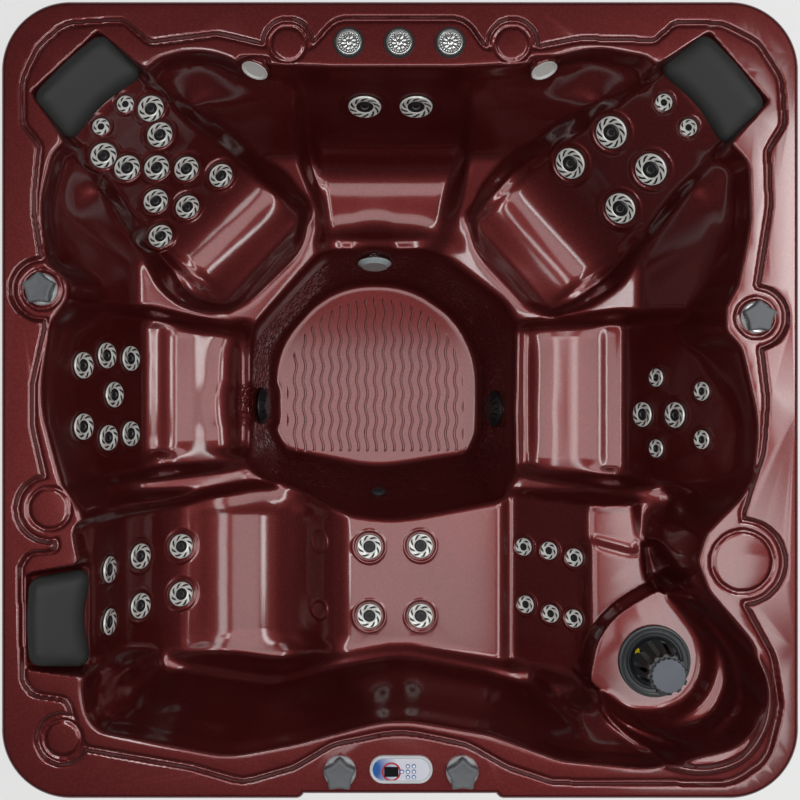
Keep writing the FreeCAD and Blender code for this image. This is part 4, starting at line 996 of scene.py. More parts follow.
@dataclass
class AcrylicShell:
    """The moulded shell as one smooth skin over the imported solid."""

    nodes: dict[str, Object]
    pitch: float = 3.0 * MM
    edge_roll: float = 14.0 * MM
    corner_radius: float = 185.0 * MM
    pod_half: float = 262.0 * MM
    pod_setback: float = 13.0 * MM
    pod_blend: float = 14.0 * MM
    lip_depth: float = 55.0 * MM
    lip_return: float = 9.0 * MM
    deck_height: float = 900.0 * MM
    deck_soft: float = 3.2 * MM
    seat_soft: float = 11.0 * MM
    soft_from: float = 780.0 * MM
    soft_to: float = 868.0 * MM
    flange_height: float = 9.3 * MM
    ledge_height: float = 770.0 * MM
    ledge_band: float = 8.0 * MM
    ledge_soft: float = 30.0 * MM
    curve_reach: float = 100.0 * MM
    bead_rise: float = 2.4 * MM
    groove_depth: float = 1.6 * MM
    filter_hole: float = 92.0 * MM
    most_triangles: int = 190000
    cast_from: float = 200.0 * MM
    rim_margin: float = 4.5 * MM
    clear_margin: float = 6.0 * MM
    fill_rounds: int = 160
    dish_fade_in: float = 40.0 * MM
    dish_fade_out: float = 30.0 * MM
    dish_side_fade: float = 45.0 * MM
    hollow_side_fade: float = 70.0 * MM
    kernel_reach: float = 2.6
    kernel_steps: int = 27
    shelf_over: float = 15.0 * MM
    shelf_reach: float = 150.0 * MM
    shelf_fade_from: float = 60.0 * MM
    shelf_fade_to: float = 100.0 * MM
    jet_bead_at: float = 1.27
    jet_bead_spread: float = 0.08
    jet_groove_at: float = 1.08
    jet_groove_spread: float = 0.07
    jet_flat_to: float = 1.26
    jet_fade_to: float = 1.6
    jet_patch: float = 1.7
    mesh_step: float = 1.1
    pod_depth: float = 60.0 * MM
    roll_turns: tuple[float, ...] = (20.0, 45.0, 70.0, 90.0)
    lip_bevel: float = 2.0 * MM
    half: float = field(init=False)
    lines: Array = field(init=False)
    dishes: tuple[Dish, ...] = (
        Dish(-625, 35, turn=0, half_deep=150, half_wide=225, soft=58, hollow=10),
        Dish(524, 8, turn=0, half_deep=150, half_wide=250, soft=58, hollow=10),
        Dish(-30, 625, turn=90, half_deep=150, half_wide=245, soft=55, hollow=8),
        Dish(-545, 560, turn=139, half_deep=185, half_wide=225, soft=78, hollow=14),
        Dish(478, 533, turn=41, half_deep=185, half_wide=225, soft=78, hollow=14),
        Dish(-480, -545, turn=0, half_deep=170, half_wide=245, soft=66, hollow=12),
        Dish(-262, -545, turn=0, half_deep=105, half_wide=215, soft=40),
        Dish(744, -330, turn=0, half_deep=38, half_wide=110, soft=34),
    )

    def __post_init__(self) -> None:
        """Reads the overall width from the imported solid."""
        low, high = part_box("shell")
        self.half = (high.x - low.x) / 2
        self.lines = np.arange(-self.half, self.half + self.pitch / 2, self.pitch)

    def cast(self) -> Array:
        """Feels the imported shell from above.

        Returns:
            Its height at each grid point, NaN where nothing is hit.
        """
        shell = self.nodes["shell"]
        points = [v.co for v in shell.data.vertices]
        tree = BVHTree.FromPolygons(points, [tuple(p.vertices) for p in shell.data.polygons])
        top = self.deck_height + self.cast_from
        heights = np.full((len(self.lines), len(self.lines)), np.nan)
        for j, y in enumerate(self.lines):
            for i, x in enumerate(self.lines):
                hit = tree.ray_cast(Vector((x, y, top)), DOWN)[0]
                if hit is not None:
                    heights[j, i] = hit.z
        return heights

    def clear_boxes(self, heights: Array) -> None:
        """Blanks the holes of fittings on steep walls, to be filled again.

        Args:
            heights: Grid of heights, changed in place.
        """
        for name in ("suction_covers", "footwell_light", "drain_fitting", "spout_lenses", "pillow_pins"):
            for seat in seats(self.nodes[name]):
                low, high = seat.low - self.clear_margin, seat.high + self.clear_margin
                rows = (self.lines > low[1]) & (self.lines < high[1])
                columns = (self.lines > low[0]) & (self.lines < high[0])
                heights[np.ix_(rows, columns)] = np.nan

    def fill(self, heights: Array) -> Array:
        """Grows the surface across blank patches and evens it there.

        Args:
            heights: Grid of heights with NaN in the patches.

        Returns:
            The grid without NaN.
        """
        outside = np.isnan(heights)
        filled = heights.copy()
        rim = self.rim_mask()
        filled[outside & ~rim] = self.deck_height
        holes = np.isnan(filled)
        while np.isnan(filled).any():
            padded = np.pad(filled, 1, constant_values=np.nan)
            around = np.stack([padded[:-2, 1:-1], padded[2:, 1:-1], padded[1:-1, :-2], padded[1:-1, 2:]])
            known = ~np.isnan(around)
            total = np.where(known, around, 0.0).sum(0)
            count = known.sum(0)
            grow = np.isnan(filled) & (count > 0)
            filled[grow] = total[grow] / count[grow]
        for _ in range(self.fill_rounds):
            even = (
                np.roll(filled, 1, 0) + np.roll(filled, -1, 0)
                + np.roll(filled, 1, 1) + np.roll(filled, -1, 1)
            ) / 4
            filled[holes] = even[holes]
        return filled

    def rim_mask(self) -> Array:
        """Marks the grid points inside the tub's outline.

        Returns:
            True inside.
        """
        across, along = np.meshgrid(np.abs(self.lines), np.abs(self.lines))
        inner = self.half - self.corner_radius
        over = np.hypot(np.maximum(across - inner, 0), np.maximum(along - inner, 0))
        return over < self.corner_radius - self.rim_margin

    def blurred(self, grid: Array, size: float) -> Array:
        """Gaussian blur of a grid.

        Args:
            grid: The grid, left as it is.
            size: Spread of the blur in metres.

        Returns:
            The blurred grid.
        """
        spread = size / self.pitch
        reach = int(math.ceil(3 * spread))
        weights = np.exp(-0.5 * (np.arange(-reach, reach + 1) / spread) ** 2)
        weights /= weights.sum()
        out = grid
        for axis in (0, 1):
            wide = np.pad(out, [(reach, reach) if a == axis else (0, 0) for a in (0, 1)], mode="edge")
            out = sum(
                w * np.take(wide, np.arange(k, k + grid.shape[axis]), axis=axis)
                for k, w in enumerate(weights)
            )
        return out

    def softened(self, heights: Array) -> Array:
        """Rounds the moulding: crisp on the deck, soft in the seats, the ledge run out into the walls.

        Args:
            heights: Grid of heights, left as it is.

        Returns:
            The rounded grid.
        """
        on_ledge = (np.abs(heights - self.ledge_height) < self.ledge_band).astype(float)
        worn = self.blurred(heights, self.ledge_soft) - heights
        heights = heights + self.blurred(on_ledge, self.ledge_band) * worn
        crisp = self.blurred(heights, self.deck_soft)
        soft = self.blurred(heights, self.seat_soft)
        share = smooth_step(self.soft_to, self.soft_from, self.blurred(heights, 2 * self.deck_soft))
        return soft * share + crisp * (1 - share)

    def dish(self, heights: Array, dish: Dish) -> None:
        """Rounds one seat along its depth and leaves its side edges crisp.

        Args:
            heights: Grid of heights, changed in place.
            dish: The seat's place, direction and size.
        """
        x, y = np.meshgrid(self.lines, self.lines)
        turn = math.radians(dish.turn)
        from_x, from_y = x - dish.x * MM, y - dish.y * MM
        half_deep, half_wide, soft = dish.half_deep * MM, dish.half_wide * MM, dish.soft * MM
        ahead = from_x * math.cos(turn) + from_y * math.sin(turn)
        aside = np.abs(from_y * math.cos(turn) - from_x * math.sin(turn))
        share = 1 - smooth_step(half_deep - self.dish_fade_in, half_deep + self.dish_fade_out, np.abs(ahead))
        share *= 1 - smooth_step(half_wide - self.dish_side_fade, half_wide, aside)
        chosen = share > 0
        total = np.zeros(chosen.sum())
        steps = np.linspace(-self.kernel_reach, self.kernel_reach, self.kernel_steps)
        weights = np.exp(-0.5 * steps ** 2)
        for step, weight in zip(steps * soft, weights / weights.sum()):
            total += weight * self.sample(
                heights, x[chosen] + step * math.cos(turn), y[chosen] + step * math.sin(turn),
            )
        heights[chosen] += share[chosen] * (total - heights[chosen])
        bowl = np.clip(1 - (ahead / half_deep) ** 2, 0, 1)
        sides = 1 - smooth_step(half_wide - self.hollow_side_fade, half_wide, aside)
        heights -= dish.hollow * MM * bowl * sides

    def away_from(self, curve: Array) -> Array:
        """Distance in plan of each grid point from a curve.

        Args:
            curve: Points of the curve.

        Returns:
            The distances, none above curve_reach.
        """
        x, y = np.meshgrid(self.lines, self.lines)
        best = np.full(x.shape, self.curve_reach)
        low, high = curve.min(0) - self.curve_reach, curve.max(0) + self.curve_reach
        near = (x > low[0]) & (x < high[0]) & (y > low[1]) & (y < high[1])
        px, py, found = x[near], y[near], best[near]
        for (ax, ay), (bx, by) in zip(curve[:-1], curve[1:]):
            size = (bx - ax) ** 2 + (by - ay) ** 2
            s = np.clip(((px - ax) * (bx - ax) + (py - ay) * (by - ay)) / size, 0, 1)
            found = np.minimum(found, np.hypot(px - ax - s * (bx - ax), py - ay - s * (by - ay)))
        best[near] = found
        return best

    def widen_shelf(self, heights: Array) -> None:
        """Brings the filter's shelf out to a steep edge along its outline.

        Args:
            heights: Grid of heights, changed in place.
        """
        x, y = np.meshgrid(self.lines, self.lines)
        curve = FILTER_SHELF.points()
        inside = np.zeros(x.shape, bool)
        for (ax, ay), (bx, by) in zip(curve[:-1], curve[1:]):
            if ay != by:
                inside ^= ((ay > y) != (by > y)) & (x < ax + (bx - ax) * (y - ay) / (by - ay))
        well_x, well_y = plan_middle("filter_canister")
        shelf = top_middle("filter_canister").z - self.flange_height
        low_part = inside & (heights < shelf + self.shelf_over)
        raised = np.where(low_part, np.maximum(heights, shelf), heights)
        past = np.hypot(x - well_x, y - well_y) - self.shelf_reach
        share = smooth_step(self.shelf_fade_to, self.shelf_fade_from, past)
        heights += share * (self.blurred(raised, self.deck_soft) - heights)

    def add_beads(self, heights: Array) -> None:
        """Raises the beads in the bay round the filter and round the blank places.

        Args:
            heights: Grid of heights, changed in place.
        """
        for bead in FILTER_BEADS + BLANK_PLACES:
            away = self.away_from(bead.points())
            heights += bead.rise * np.exp(-0.5 * (away / bead.spread) ** 2)

    def jet_seats(self) -> list[Seat]:
        """Where every jet's trim sits.

        Returns:
            One Seat for each jet.
        """
        groups = ["neck_jets", "small_jets", "medium_jets"]
        groups += [name for name in self.nodes if name.startswith("large_jet_") and name[-1].isdigit()]
        return [seat for name in groups for seat in seats(self.nodes[name])]

    def seat_jets(self, heights: Array) -> None:
        """Flattens the skin under each jet, with a groove and a bead round its trim.

        Args:
            heights: Grid of heights, changed in place.
        """
        nearest = np.full(heights.shape, np.inf)
        target = heights.copy()
        for seat in self.jet_seats():
            reach = self.jet_patch * seat.radius
            rows = np.flatnonzero(np.abs(self.lines - seat.middle.y) < reach)
            columns = np.flatnonzero(np.abs(self.lines - seat.middle.x) < reach)
            patch = np.ix_(rows, columns)
            x, y = np.meshgrid(self.lines[columns] - seat.middle.x, self.lines[rows] - seat.middle.y)
            rise = -(seat.axis.x * x + seat.axis.y * y) / seat.axis.z
            away = np.sqrt(x * x + y * y + rise * rise) / seat.radius
            from_bead = (away - self.jet_bead_at) / self.jet_bead_spread
            from_groove = (away - self.jet_groove_at) / self.jet_groove_spread
            bead = self.bead_rise * np.exp(-0.5 * from_bead ** 2)
            groove = self.groove_depth * np.exp(-0.5 * from_groove ** 2)
            closer = away < nearest[patch]
            plane = seat.middle.z + rise + (bead - groove) / seat.axis.z
            target[patch] = np.where(closer, plane, target[patch])
            nearest[patch] = np.where(closer, away, nearest[patch])
        share = 1 - smooth_step(self.jet_flat_to, self.jet_fade_to, nearest)
        heights += share * (target - heights)

    def skin(self) -> Array:
        """Works out the finished skin.

        Returns:
            Its height over the grid.
        """
        heights = self.cast()
        self.clear_boxes(heights)
        heights = self.softened(self.fill(heights))
        for dish in self.dishes:
            self.dish(heights, dish)
        self.add_beads(heights)
        self.widen_shelf(heights)
        self.seat_jets(heights)
        return heights

    def plan(self) -> tuple[Array, Array]:
        """Plan positions of the mesh: a square grid drawn in to the rounded outline.

        Returns:
            X and Y of every mesh point, row by row from the front.
        """
        inner = self.half - self.edge_roll
        side = np.append(np.arange(0.0, inner - self.pitch / 2, self.mesh_step * self.pitch), inner)
        lines = np.concatenate([-side[:0:-1], side])
        x, y = np.meshgrid(lines, lines)
        radius = self.corner_radius - self.edge_roll
        a = np.clip((np.abs(x) - (inner - radius)) / radius, 0, 1)
        b = np.clip((np.abs(y) - (inner - radius)) / radius, 0, 1)
        corner = (a > 0) & (b > 0)
        round_x = np.sign(x) * (inner - radius + radius * a * np.sqrt(1 - b * b / 2))
        round_y = np.sign(y) * (inner - radius + radius * b * np.sqrt(1 - a * a / 2))
        x, y = np.where(corner, round_x, x), np.where(corner, round_y, y)
        back = 1 - smooth_step(self.pod_half, self.pod_half + self.pod_blend, np.abs(x))
        near = 1 - smooth_step(-inner, -inner + self.pod_depth, y)
        return x, y + self.pod_setback * back * near

    def sample(self, grid: Array, x: Array, y: Array) -> Array:
        """Values of a grid between its points.

        Args:
            grid: The grid.
            x: Where to look, across.
            y: Where to look, along.

        Returns:
            One value for each place.
        """
        u = np.clip((x + self.half) / self.pitch, 0, len(self.lines) - 1.001)
        v = np.clip((y + self.half) / self.pitch, 0, len(self.lines) - 1.001)
        i, j = u.astype(int), v.astype(int)
        s, t = u - i, v - j
        low = grid[j, i] * (1 - s) + grid[j, i + 1] * s
        high = grid[j + 1, i] * (1 - s) + grid[j + 1, i + 1] * s
        return low * (1 - t) + high * t

    def build(self) -> Object:
        """Makes the skin, its rolled edge and its lip.

        Returns:
            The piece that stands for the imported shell.
        """
        grid = self.skin()
        slope_y, slope_x = np.gradient(grid, self.pitch)
        x, y = self.plan()
        z = self.sample(grid, x, y)
        normals = np.stack([-self.sample(slope_x, x, y), -self.sample(slope_y, x, y), np.ones_like(z)], -1)
        points = np.stack([x, y, z], -1).reshape(-1, 3)
        normals = normals.reshape(-1, 3)
        rows, columns = z.shape
        index = np.arange(rows * columns).reshape(rows, columns)
        corners = [index[:-1, :-1], index[:-1, 1:], index[1:, 1:], index[1:, :-1]]
        quads = np.stack(corners, -1).reshape(-1, 4)
        middle = points[quads].mean(1)
        well_x, well_y = plan_middle("filter_canister")
        away = np.hypot(middle[:, 0] - well_x, middle[:, 1] - well_y)
        quads = quads[away > self.filter_hole]
        loop = np.concatenate([index[0, :-1], index[:-1, -1], index[-1, :0:-1], index[:0:-1, 0]])
        points, normals, quads = self.lip(points, normals, quads, loop)
        mesh = self.mesh(points, normals, quads)
        obj = new_object("acrylic_shell", mesh, [ACRYLIC])
        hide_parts("shell")
        return obj

    def lip(self, points: Array, normals: Array, quads: Array, loop: Array) -> tuple[Array, Array, Array]:
        """Adds the rolled edge, the outer lip and its return.

        Args:
            points: Mesh points.
            normals: Their normals.
            quads: Faces.
            loop: The outermost points, counter-clockwise from above.

        Returns:
            Points, normals and faces with the edge added.
        """
        rim = points[loop]
        along = np.roll(rim, -1, 0) - np.roll(rim, 1, 0)
        out = np.stack([along[:, 1], -along[:, 0], np.zeros(len(loop))], -1)
        out /= np.linalg.norm(out, axis=1, keepdims=True)
        up = np.array(UP)
        steps = []
        for turn in np.radians(self.roll_turns):
            shift = out * self.edge_roll * math.sin(turn) - up * self.edge_roll * (1 - math.cos(turn))
            steps.append((rim + shift, out * math.sin(turn) + up * math.cos(turn)))
        wall = rim + out * self.edge_roll
        bottom = self.deck_height - self.lip_depth
        for height, inset, face in ((bottom + self.lip_bevel, 0.0, out), (bottom, self.lip_bevel, -up)):
            row = wall - out * inset
            row[:, 2] = height
            steps.append((row, face + 0 * out))
        inner = wall - out * self.lip_return
        inner[:, 2] = bottom
        steps.append((inner, -up + 0 * out))
        last = loop
        for row, facing in steps:
            start = len(points)
            points = np.concatenate([points, row])
            normals = np.concatenate([normals, facing])
            new = np.arange(start, start + len(loop))
            quads = np.concatenate([
                quads,
                np.stack([np.roll(last, -1), last, new, np.roll(new, -1)], -1),
            ])
            last = new
        return points, normals, quads

    def mesh(self, points: Array, normals: Array, quads: Array) -> Mesh:
        """Thins the mesh where it is flat and gives it the field's own normals.

        Args:
            points: Mesh points.
            normals: The normal at each point.
            quads: Faces.

        Returns:
            A mesh within the triangle limit.
        """
        normals = normals / np.linalg.norm(normals, axis=1, keepdims=True)
        full = bpy.data.meshes.new("acrylic_shell_full")
        full.from_pydata(points.tolist(), [], quads.tolist())
        carried = full.attributes.new("facing", "FLOAT_VECTOR", "POINT")
        carried.data.foreach_set("vector", normals.ravel())
        helper = bpy.data.objects.new("acrylic_shell_full", full)
        bpy.context.scene.collection.objects.link(helper)
        thin = helper.modifiers.new("thin", "DECIMATE")
        thin.ratio = min(1.0, self.most_triangles / (2.0 * len(quads)))
        mesh = applied(helper)
        bpy.data.objects.remove(helper)
        mesh.name = "acrylic_shell"
        facing = np.empty(len(mesh.vertices) * 3)
        mesh.attributes["facing"].data.foreach_get("vector", facing)
        facing = facing.reshape(-1, 3)
        facing /= np.maximum(np.linalg.norm(facing, axis=1, keepdims=True), 1e-9)
        mesh.attributes.remove(mesh.attributes["facing"])
        mesh.polygons.foreach_set("use_smooth", np.ones(len(mesh.polygons), bool))
        mesh.normals_split_custom_set_from_vertices(facing.tolist())
        log.info("shell skin: %d triangles", len(mesh.polygons))
        return mesh


@dataclass
class Pillow:
    """A moulded foam pillow: crowned, with drawn-in sides, pressed to the ends of its bed."""

    nodes: dict[str, Object]
    node: str
    voxel: float = 5.0 * MM
    rounds: int = 14
    smooth_factor: float = 0.5
    swell: float = 4.0 * MM
    stretch: float = 1.0
    outward: float = 0.0

    def fill_bed(self, mesh: Mesh) -> None:
        """Stretches the pillow along its length and moves it to the back of its bed.

        Args:
            mesh: The pillow's mesh, changed in place.
        """
        points = mesh_points(mesh)
        middle = points.mean(0)
        long = np.linalg.eigh(np.cov((points - middle).T))[1][:, 2]
        points += np.outer((points - middle) @ long, long) * (self.stretch - 1)
        out = middle * np.array([1.0, 1.0, 0.0])
        points += self.outward * out / np.linalg.norm(out)
        mesh.vertices.foreach_set("co", points.ravel())

    def build(self) -> Object:
        """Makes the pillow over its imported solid.

        Returns:
            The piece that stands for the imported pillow.
        """
        source = self.nodes[self.node]
        helper = bpy.data.objects.new("pillow_start", source.data.copy())
        bpy.context.scene.collection.objects.link(helper)
        helper.data.materials.clear()
        remesh = helper.modifiers.new("remesh", "REMESH")
        remesh.mode = "VOXEL"
        remesh.voxel_size = self.voxel
        smooth = helper.modifiers.new("smooth", "SMOOTH")
        smooth.iterations = self.rounds
        smooth.factor = self.smooth_factor
        swell = helper.modifiers.new("swell", "DISPLACE")
        swell.mid_level = 0.0
        swell.strength = self.swell
        subdivide = helper.modifiers.new("subdivide", "SUBSURF")
        subdivide.levels = 1
        mesh = applied(helper)
        bpy.data.objects.remove(helper)
        self.fill_bed(mesh)
        mesh.polygons.foreach_set("use_smooth", np.ones(len(mesh.polygons), bool))
        obj = new_object(self.node + "_foam", mesh, [PILLOW_FOAM])
        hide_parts(self.node)
        return obj


class JetKind(Enum):
    """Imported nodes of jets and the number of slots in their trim."""

    NECK = ("neck_jets", 6)
    SMALL = ("small_jets", 6)
    MEDIUM = ("medium_jets", 8)
    LARGE = ("large_jet_", 10)


@dataclass
class JetTrim:
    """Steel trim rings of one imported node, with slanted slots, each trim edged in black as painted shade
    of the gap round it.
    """

    nodes: dict[str, Object]
    node: str
    kind: JetKind
    body: str = BODY
    body_share: float = 0.62
    skirt_step: float = 6.4 * MM
    mouth_step: float = 0.05
    slots_from: float = 0.88
    slots_to: float = 0.6
    slots_clear: float = 0.06
    slots_top_mm: float = 6.8
    slots_fall_mm: float = 0.5
    sides_per_slot: int = 12
    slot_sides: int = 5
    slot_depth: float = 2.4 * MM
    twist: float = 0.5

    def rows(self, radius: float) -> list[Row]:
        """Rings of one trim, from its black outer edge, which is painted shade of the gap round it, in to
        the nozzle.

        Args:
            radius: Outer radius of the trim's black outer edge.

        Returns:
            Rings in order; the slots lie between the sixth and the ninth.
        """
        mouth = self.body_share * radius - self.skirt_step
        inner = mouth + self.mouth_step * radius
        slots_to = max(self.slots_to * radius, inner + self.slots_clear * radius)
        zone = np.linspace(self.slots_from * radius, slots_to, 4)
        # The first two skirt rings carry paint 1, black: painted shade of the gap round the trim
        # Share of the radius or of the mouth, height in millimetres, paint
        skirt = [(1.0, 0.0, 1), (1.0, 1.6, 1), (0.962, 2.4, 0), (0.945, 5.2, 0), (0.915, 6.6, 0)]
        nozzle = [
            (1.0, 1.0, 1), (0.72, 1.0, 1), (0.68, 2.9, 2), (0.46, 3.1, 2), (0.4, 1.2, 1), (0.01, 1.2, 1),
        ]
        rows = [Row(share * radius, height * MM, paint) for share, height, paint in skirt]
        for i, r in enumerate(zone):
            rows.append(Row(r, (self.slots_top_mm - self.slots_fall_mm * i) * MM, 0, self.twist * i / 3))
        rows.append(Row(inner, 4.6 * MM, 0, self.twist))
        rows.append(Row(mouth + 0.01 * radius, 3.4 * MM, 1, self.twist))
        rows += [Row(share * mouth, height * MM, paint, self.twist) for share, height, paint in nozzle]
        return rows

    def build(self) -> Object:
        """Makes the trims of the node as one piece.

        Returns:
            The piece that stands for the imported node.
        """
        parts = MeshParts()
        sides = self.sides_per_slot * self.kind.value[1]
        slots = Slots(5, 8, self.sides_per_slot, self.slot_sides, self.slot_depth)
        for seat in seats(self.nodes[self.node]):
            parts.turned(seat, self.rows(seat.radius), sides, slots)
        name = self.node + "_trim"
        # Paint 0 is steel whose bright silver is a painted reflection; paint 1 is black, painted shade of
        # the gap round each trim as well as the nozzle's black
        obj = new_object(name, parts.mesh(name), [JET_TRIM_PAINTED_REFLECTION, BLACK_RUBBER_AND_GAP_SHADE, KNOB_ABS], self.body)
        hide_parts(self.node)
        return obj


@dataclass
class StarKnob:
    """A five-pointed knob head with hollow sides."""

    node: str
    radius: float = 46.0 * MM
    height: float = 24.0 * MM
    points: int = 5
    hollow: float = 0.27
    flank: float = 1.8
    tip_round: float = 0.004
    stem: tuple[tuple[float, float], ...] = ((22.0, -7.5), (22.0, 0.5))
    sides: int = 120

    def outline(self) -> Array:
        """Shapes the star, with one point uphill.

        Returns:
            Its radius at each side.
        """
        turn = np.arange(self.sides) * 360 / self.sides - 90
        half = 180 / self.points
        step = np.abs((turn + half) % (2 * half) - half) / half
        step = np.sqrt(step ** 2 + self.tip_round)
        return self.radius * (1 - self.hollow * (1 - np.clip(1 - step, 0, 1) ** self.flank))

    def build(self, middle: Vector) -> Object:
        """Makes the knob over the middle of its collar.

        Args:
            middle: The collar's middle.

        Returns:
            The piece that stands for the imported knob.
        """
        _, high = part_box(self.node)
        star = self.outline()
        seat = Seat(Vector((middle.x, middle.y, high.z - self.height)), UP)
        # Shares of the star's radius and of the height
        profile = [
            (0.5, 0.0), (0.97, 0.0), (1.0, 0.06), (1.0, 0.66), (0.975, 0.84), (0.93, 0.95), (0.87, 1.0),
            (0.74, 0.985), (0.5, 0.95), (0.25, 0.94), (0.01, 0.94),
        ]
        parts = MeshParts()
        parts.turned(seat, [Row(share * star, rise * self.height) for share, rise in profile], self.sides)
        parts.turned(seat, rings(self.stem), 48)
        name = self.node + "_head"
        obj = new_object(name, parts.mesh(name), [KNOB_ABS], self.node + "_body")
        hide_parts(self.node)
        return obj


@dataclass
class RearCap:
    """A chromed turning cap with a ring of beads and a swirl of ribs."""

    node: str
    height: float = 9.0 * MM
    beads: int = 22
    bead_rise_mm: float = 1.3
    ribs: int = 9
    rib_rise_mm: float = 1.5
    swirl: float = 0.16
    sides: int = 198

    def build(self) -> Object:
        """Makes the cap in its black ring.

        Returns:
            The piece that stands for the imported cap.
        """
        angles = 2 * np.pi * np.arange(self.sides) / self.sides
        rows = rings([
            (35, 0), (35, 5.4), (34, 7.4), (32, 8.8), (30, 9), (28.2, 8.6), (27.4, 7), (26.8, 6.6),
        ])
        bead = np.maximum(np.cos(self.beads * angles), 0.0)
        for r, share in ((25.8, 0.5), (24.6, 1.0), (23.4, 0.5)):
            rows.append(Row(r * MM, (6.6 + self.bead_rise_mm * share * bead) * MM))
        rows += rings([(22.4, 6.6), (21.6, 8.0), (20.2, 8.0), (19.4, 6.4)])
        for r, share in ((17.5, 0.7), (15, 1.0), (12.5, 1.0), (10, 0.7)):
            swirl = np.cos(self.ribs * angles + self.swirl * r) * 0.5 + 0.5
            rows.append(Row(r * MM, (6.2 + self.rib_rise_mm * share * swirl) * MM))
        rows += rings([(8.4, 6.2), (7.8, 7.6), (5, 8.7), (0.5, 9.0)])
        parts = MeshParts()
        parts.turned(Seat(top_middle(self.node) - UP * self.height, UP), rows, self.sides)
        name = self.node + "_cap"
        obj = new_object(name, parts.mesh(name), [CHROME], self.node + "_body")
        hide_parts(self.node)
        return obj


@dataclass
class SpoutBosses:
    """Red stubs that carry the two spout lenses out of the rear wall."""

    nodes: dict[str, Object]
    lens_foot: float = 5.7 * MM

    def build(self) -> Object:
        """Makes both stubs as one piece of the shell.

        Returns:
            The new piece.
        """
        parts = MeshParts()
        profile = [(42, -58), (42, -5), (41.4, -2.4), (39.6, -0.4), (37.6, 0.2), (36.3, -0.6), (36.2, -6)]
        for seat in seats(self.nodes["spout_lenses"]):
            face = Seat(seat.middle + seat.axis * self.lens_foot, seat.axis)
            parts.turned(face, rings(profile), 72)
        obj = new_object("spout_bosses", parts.mesh("spout_bosses"), [ACRYLIC])
        return obj


@dataclass
class ControlPanel:
    """Bezel of the control panel, over its printed film."""

    sides: int = 180

    def halves(self) -> tuple[float, float]:
        """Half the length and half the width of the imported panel."""
        low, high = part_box("control_panel")
        return (high.x - low.x) / 2, (high.y - low.y) / 2

    def overlay(self) -> PrintedOverlay:
        """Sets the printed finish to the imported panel's place and size.

        Returns:
            The finish.
        """
        half_long, half_wide = self.halves()
        middle = top_middle("control_panel")
        eye = top_middle("display_window")
        return PrintedOverlay(
            "printed_panel_film", "#c9cacb", "#bfc0c2", roughness=0.3, coat=0.4,
            middle=tuple(middle), half_long=half_long, half_wide=half_wide, eye=(eye.x, eye.y, middle.z),
        )

    def outline(self, half_long: float, half_wide: float) -> Array:
        """Radius of a long round-ended ring at each side.

        Args:
            half_long: Half its length.
            half_wide: Half its width.

        Returns:
            One radius for each side.
        """
        angles = 2 * np.pi * np.arange(self.sides) / self.sides
        c, s = np.abs(np.cos(angles)), np.abs(np.sin(angles))
        offset = half_long - half_wide
        ends = offset * c + np.sqrt(np.maximum(half_wide ** 2 - (offset * s) ** 2, 0))
        flat = half_wide / np.maximum(s, 1e-6)
        return np.where(flat * c <= offset, flat, ends)

    def build(self) -> Object:
        """Makes the bezel.

        Returns:
            The bezel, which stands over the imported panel's rim.
        """
        half_long, half_wide = self.halves()
        # Distance in from the outline and height, in millimetres
        profile = [(0, -4.8), (-0.2, 0.4), (1, 2.2), (3.2, 3.2), (5.4, 3), (7.4, 1.4), (8.4, -0.2)]
        rows = [Row(self.outline(half_long - d * MM, half_wide - d * MM), h * MM) for d, h in profile]
        parts = MeshParts()
        parts.turned(Seat(top_middle("control_panel"), UP), rows, self.sides)
        obj = new_object("panel_bezel", parts.mesh("panel_bezel"), [WHITE_ABS])
        return obj


@dataclass
class FilterTrim:
    """Stepped ring of the filter's well, toothed crown and clip of its basket."""

    teeth: int = 12
    clip_turn: float = 148.0
    clip_out: float = 63.5 * MM
    clip_up: float = 16.0 * MM
    clip_lean: float = 0.16
    body: str = "skimmer"

    def ring(self) -> None:
        """Makes the stepped ring that covers the well's flange."""
        steps = [
            (103, -8), (102.8, -0.6), (101, 1.2), (96, 1.6), (94.5, 0.4),
            (90, 0.3), (88.4, 2.4), (81, 2.6), (78, 1), (75, -2),
        ]
        parts = MeshParts()
        parts.turned(Seat(top_middle("filter_canister"), UP), rings(steps), 120)
        obj = new_object("filter_ring", parts.mesh("filter_ring"), [FILTER_PVC])

    def crown(self) -> None:
        """Makes the square-toothed crown below the basket's cap."""
        middle = top_middle("filter_canister")
        cap_low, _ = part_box("skimmer_cap")
        sides = 8 * self.teeth
        tooth = np.where(np.arange(sides) % 8 < 4, 1.0, 0.0)
        # Radius, how far the teeth stand out of it, height, in millimetres
        profile = [(46, 0, -20), (51, 6, -20), (51, 6, -4), (50, 5, -2), (44, 0, -1)]
        rows = [Row((radius + out * tooth) * MM, height * MM) for radius, out, height in profile]
        parts = MeshParts()
        parts.turned(Seat(Vector((middle.x, middle.y, cap_low.z)), UP), rows, sides)
        obj = new_object("basket_crown", parts.mesh("basket_crown"), [FILTER_PVC], self.body)

    def clip(self) -> None:
        """Makes the clip on the basket's wall."""
        turn = math.radians(self.clip_turn)
        out = Vector((math.cos(turn), math.sin(turn), 0.0))
        middle = top_middle("filter_canister") + out * self.clip_out + UP * self.clip_up
        parts = MeshParts()
        seat = Seat(middle, (out + UP * self.clip_lean).normalized())
        parts.turned(seat, rings([(9, -3), (9, 2), (7.6, 3.2), (0.5, 3.2)]), 4)
        new_object("basket_clip", parts.mesh("basket_clip"), [CLIP_PP], self.body)

    def build(self) -> None:
        """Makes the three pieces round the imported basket."""
        self.ring()
        self.crown()
        self.clip()


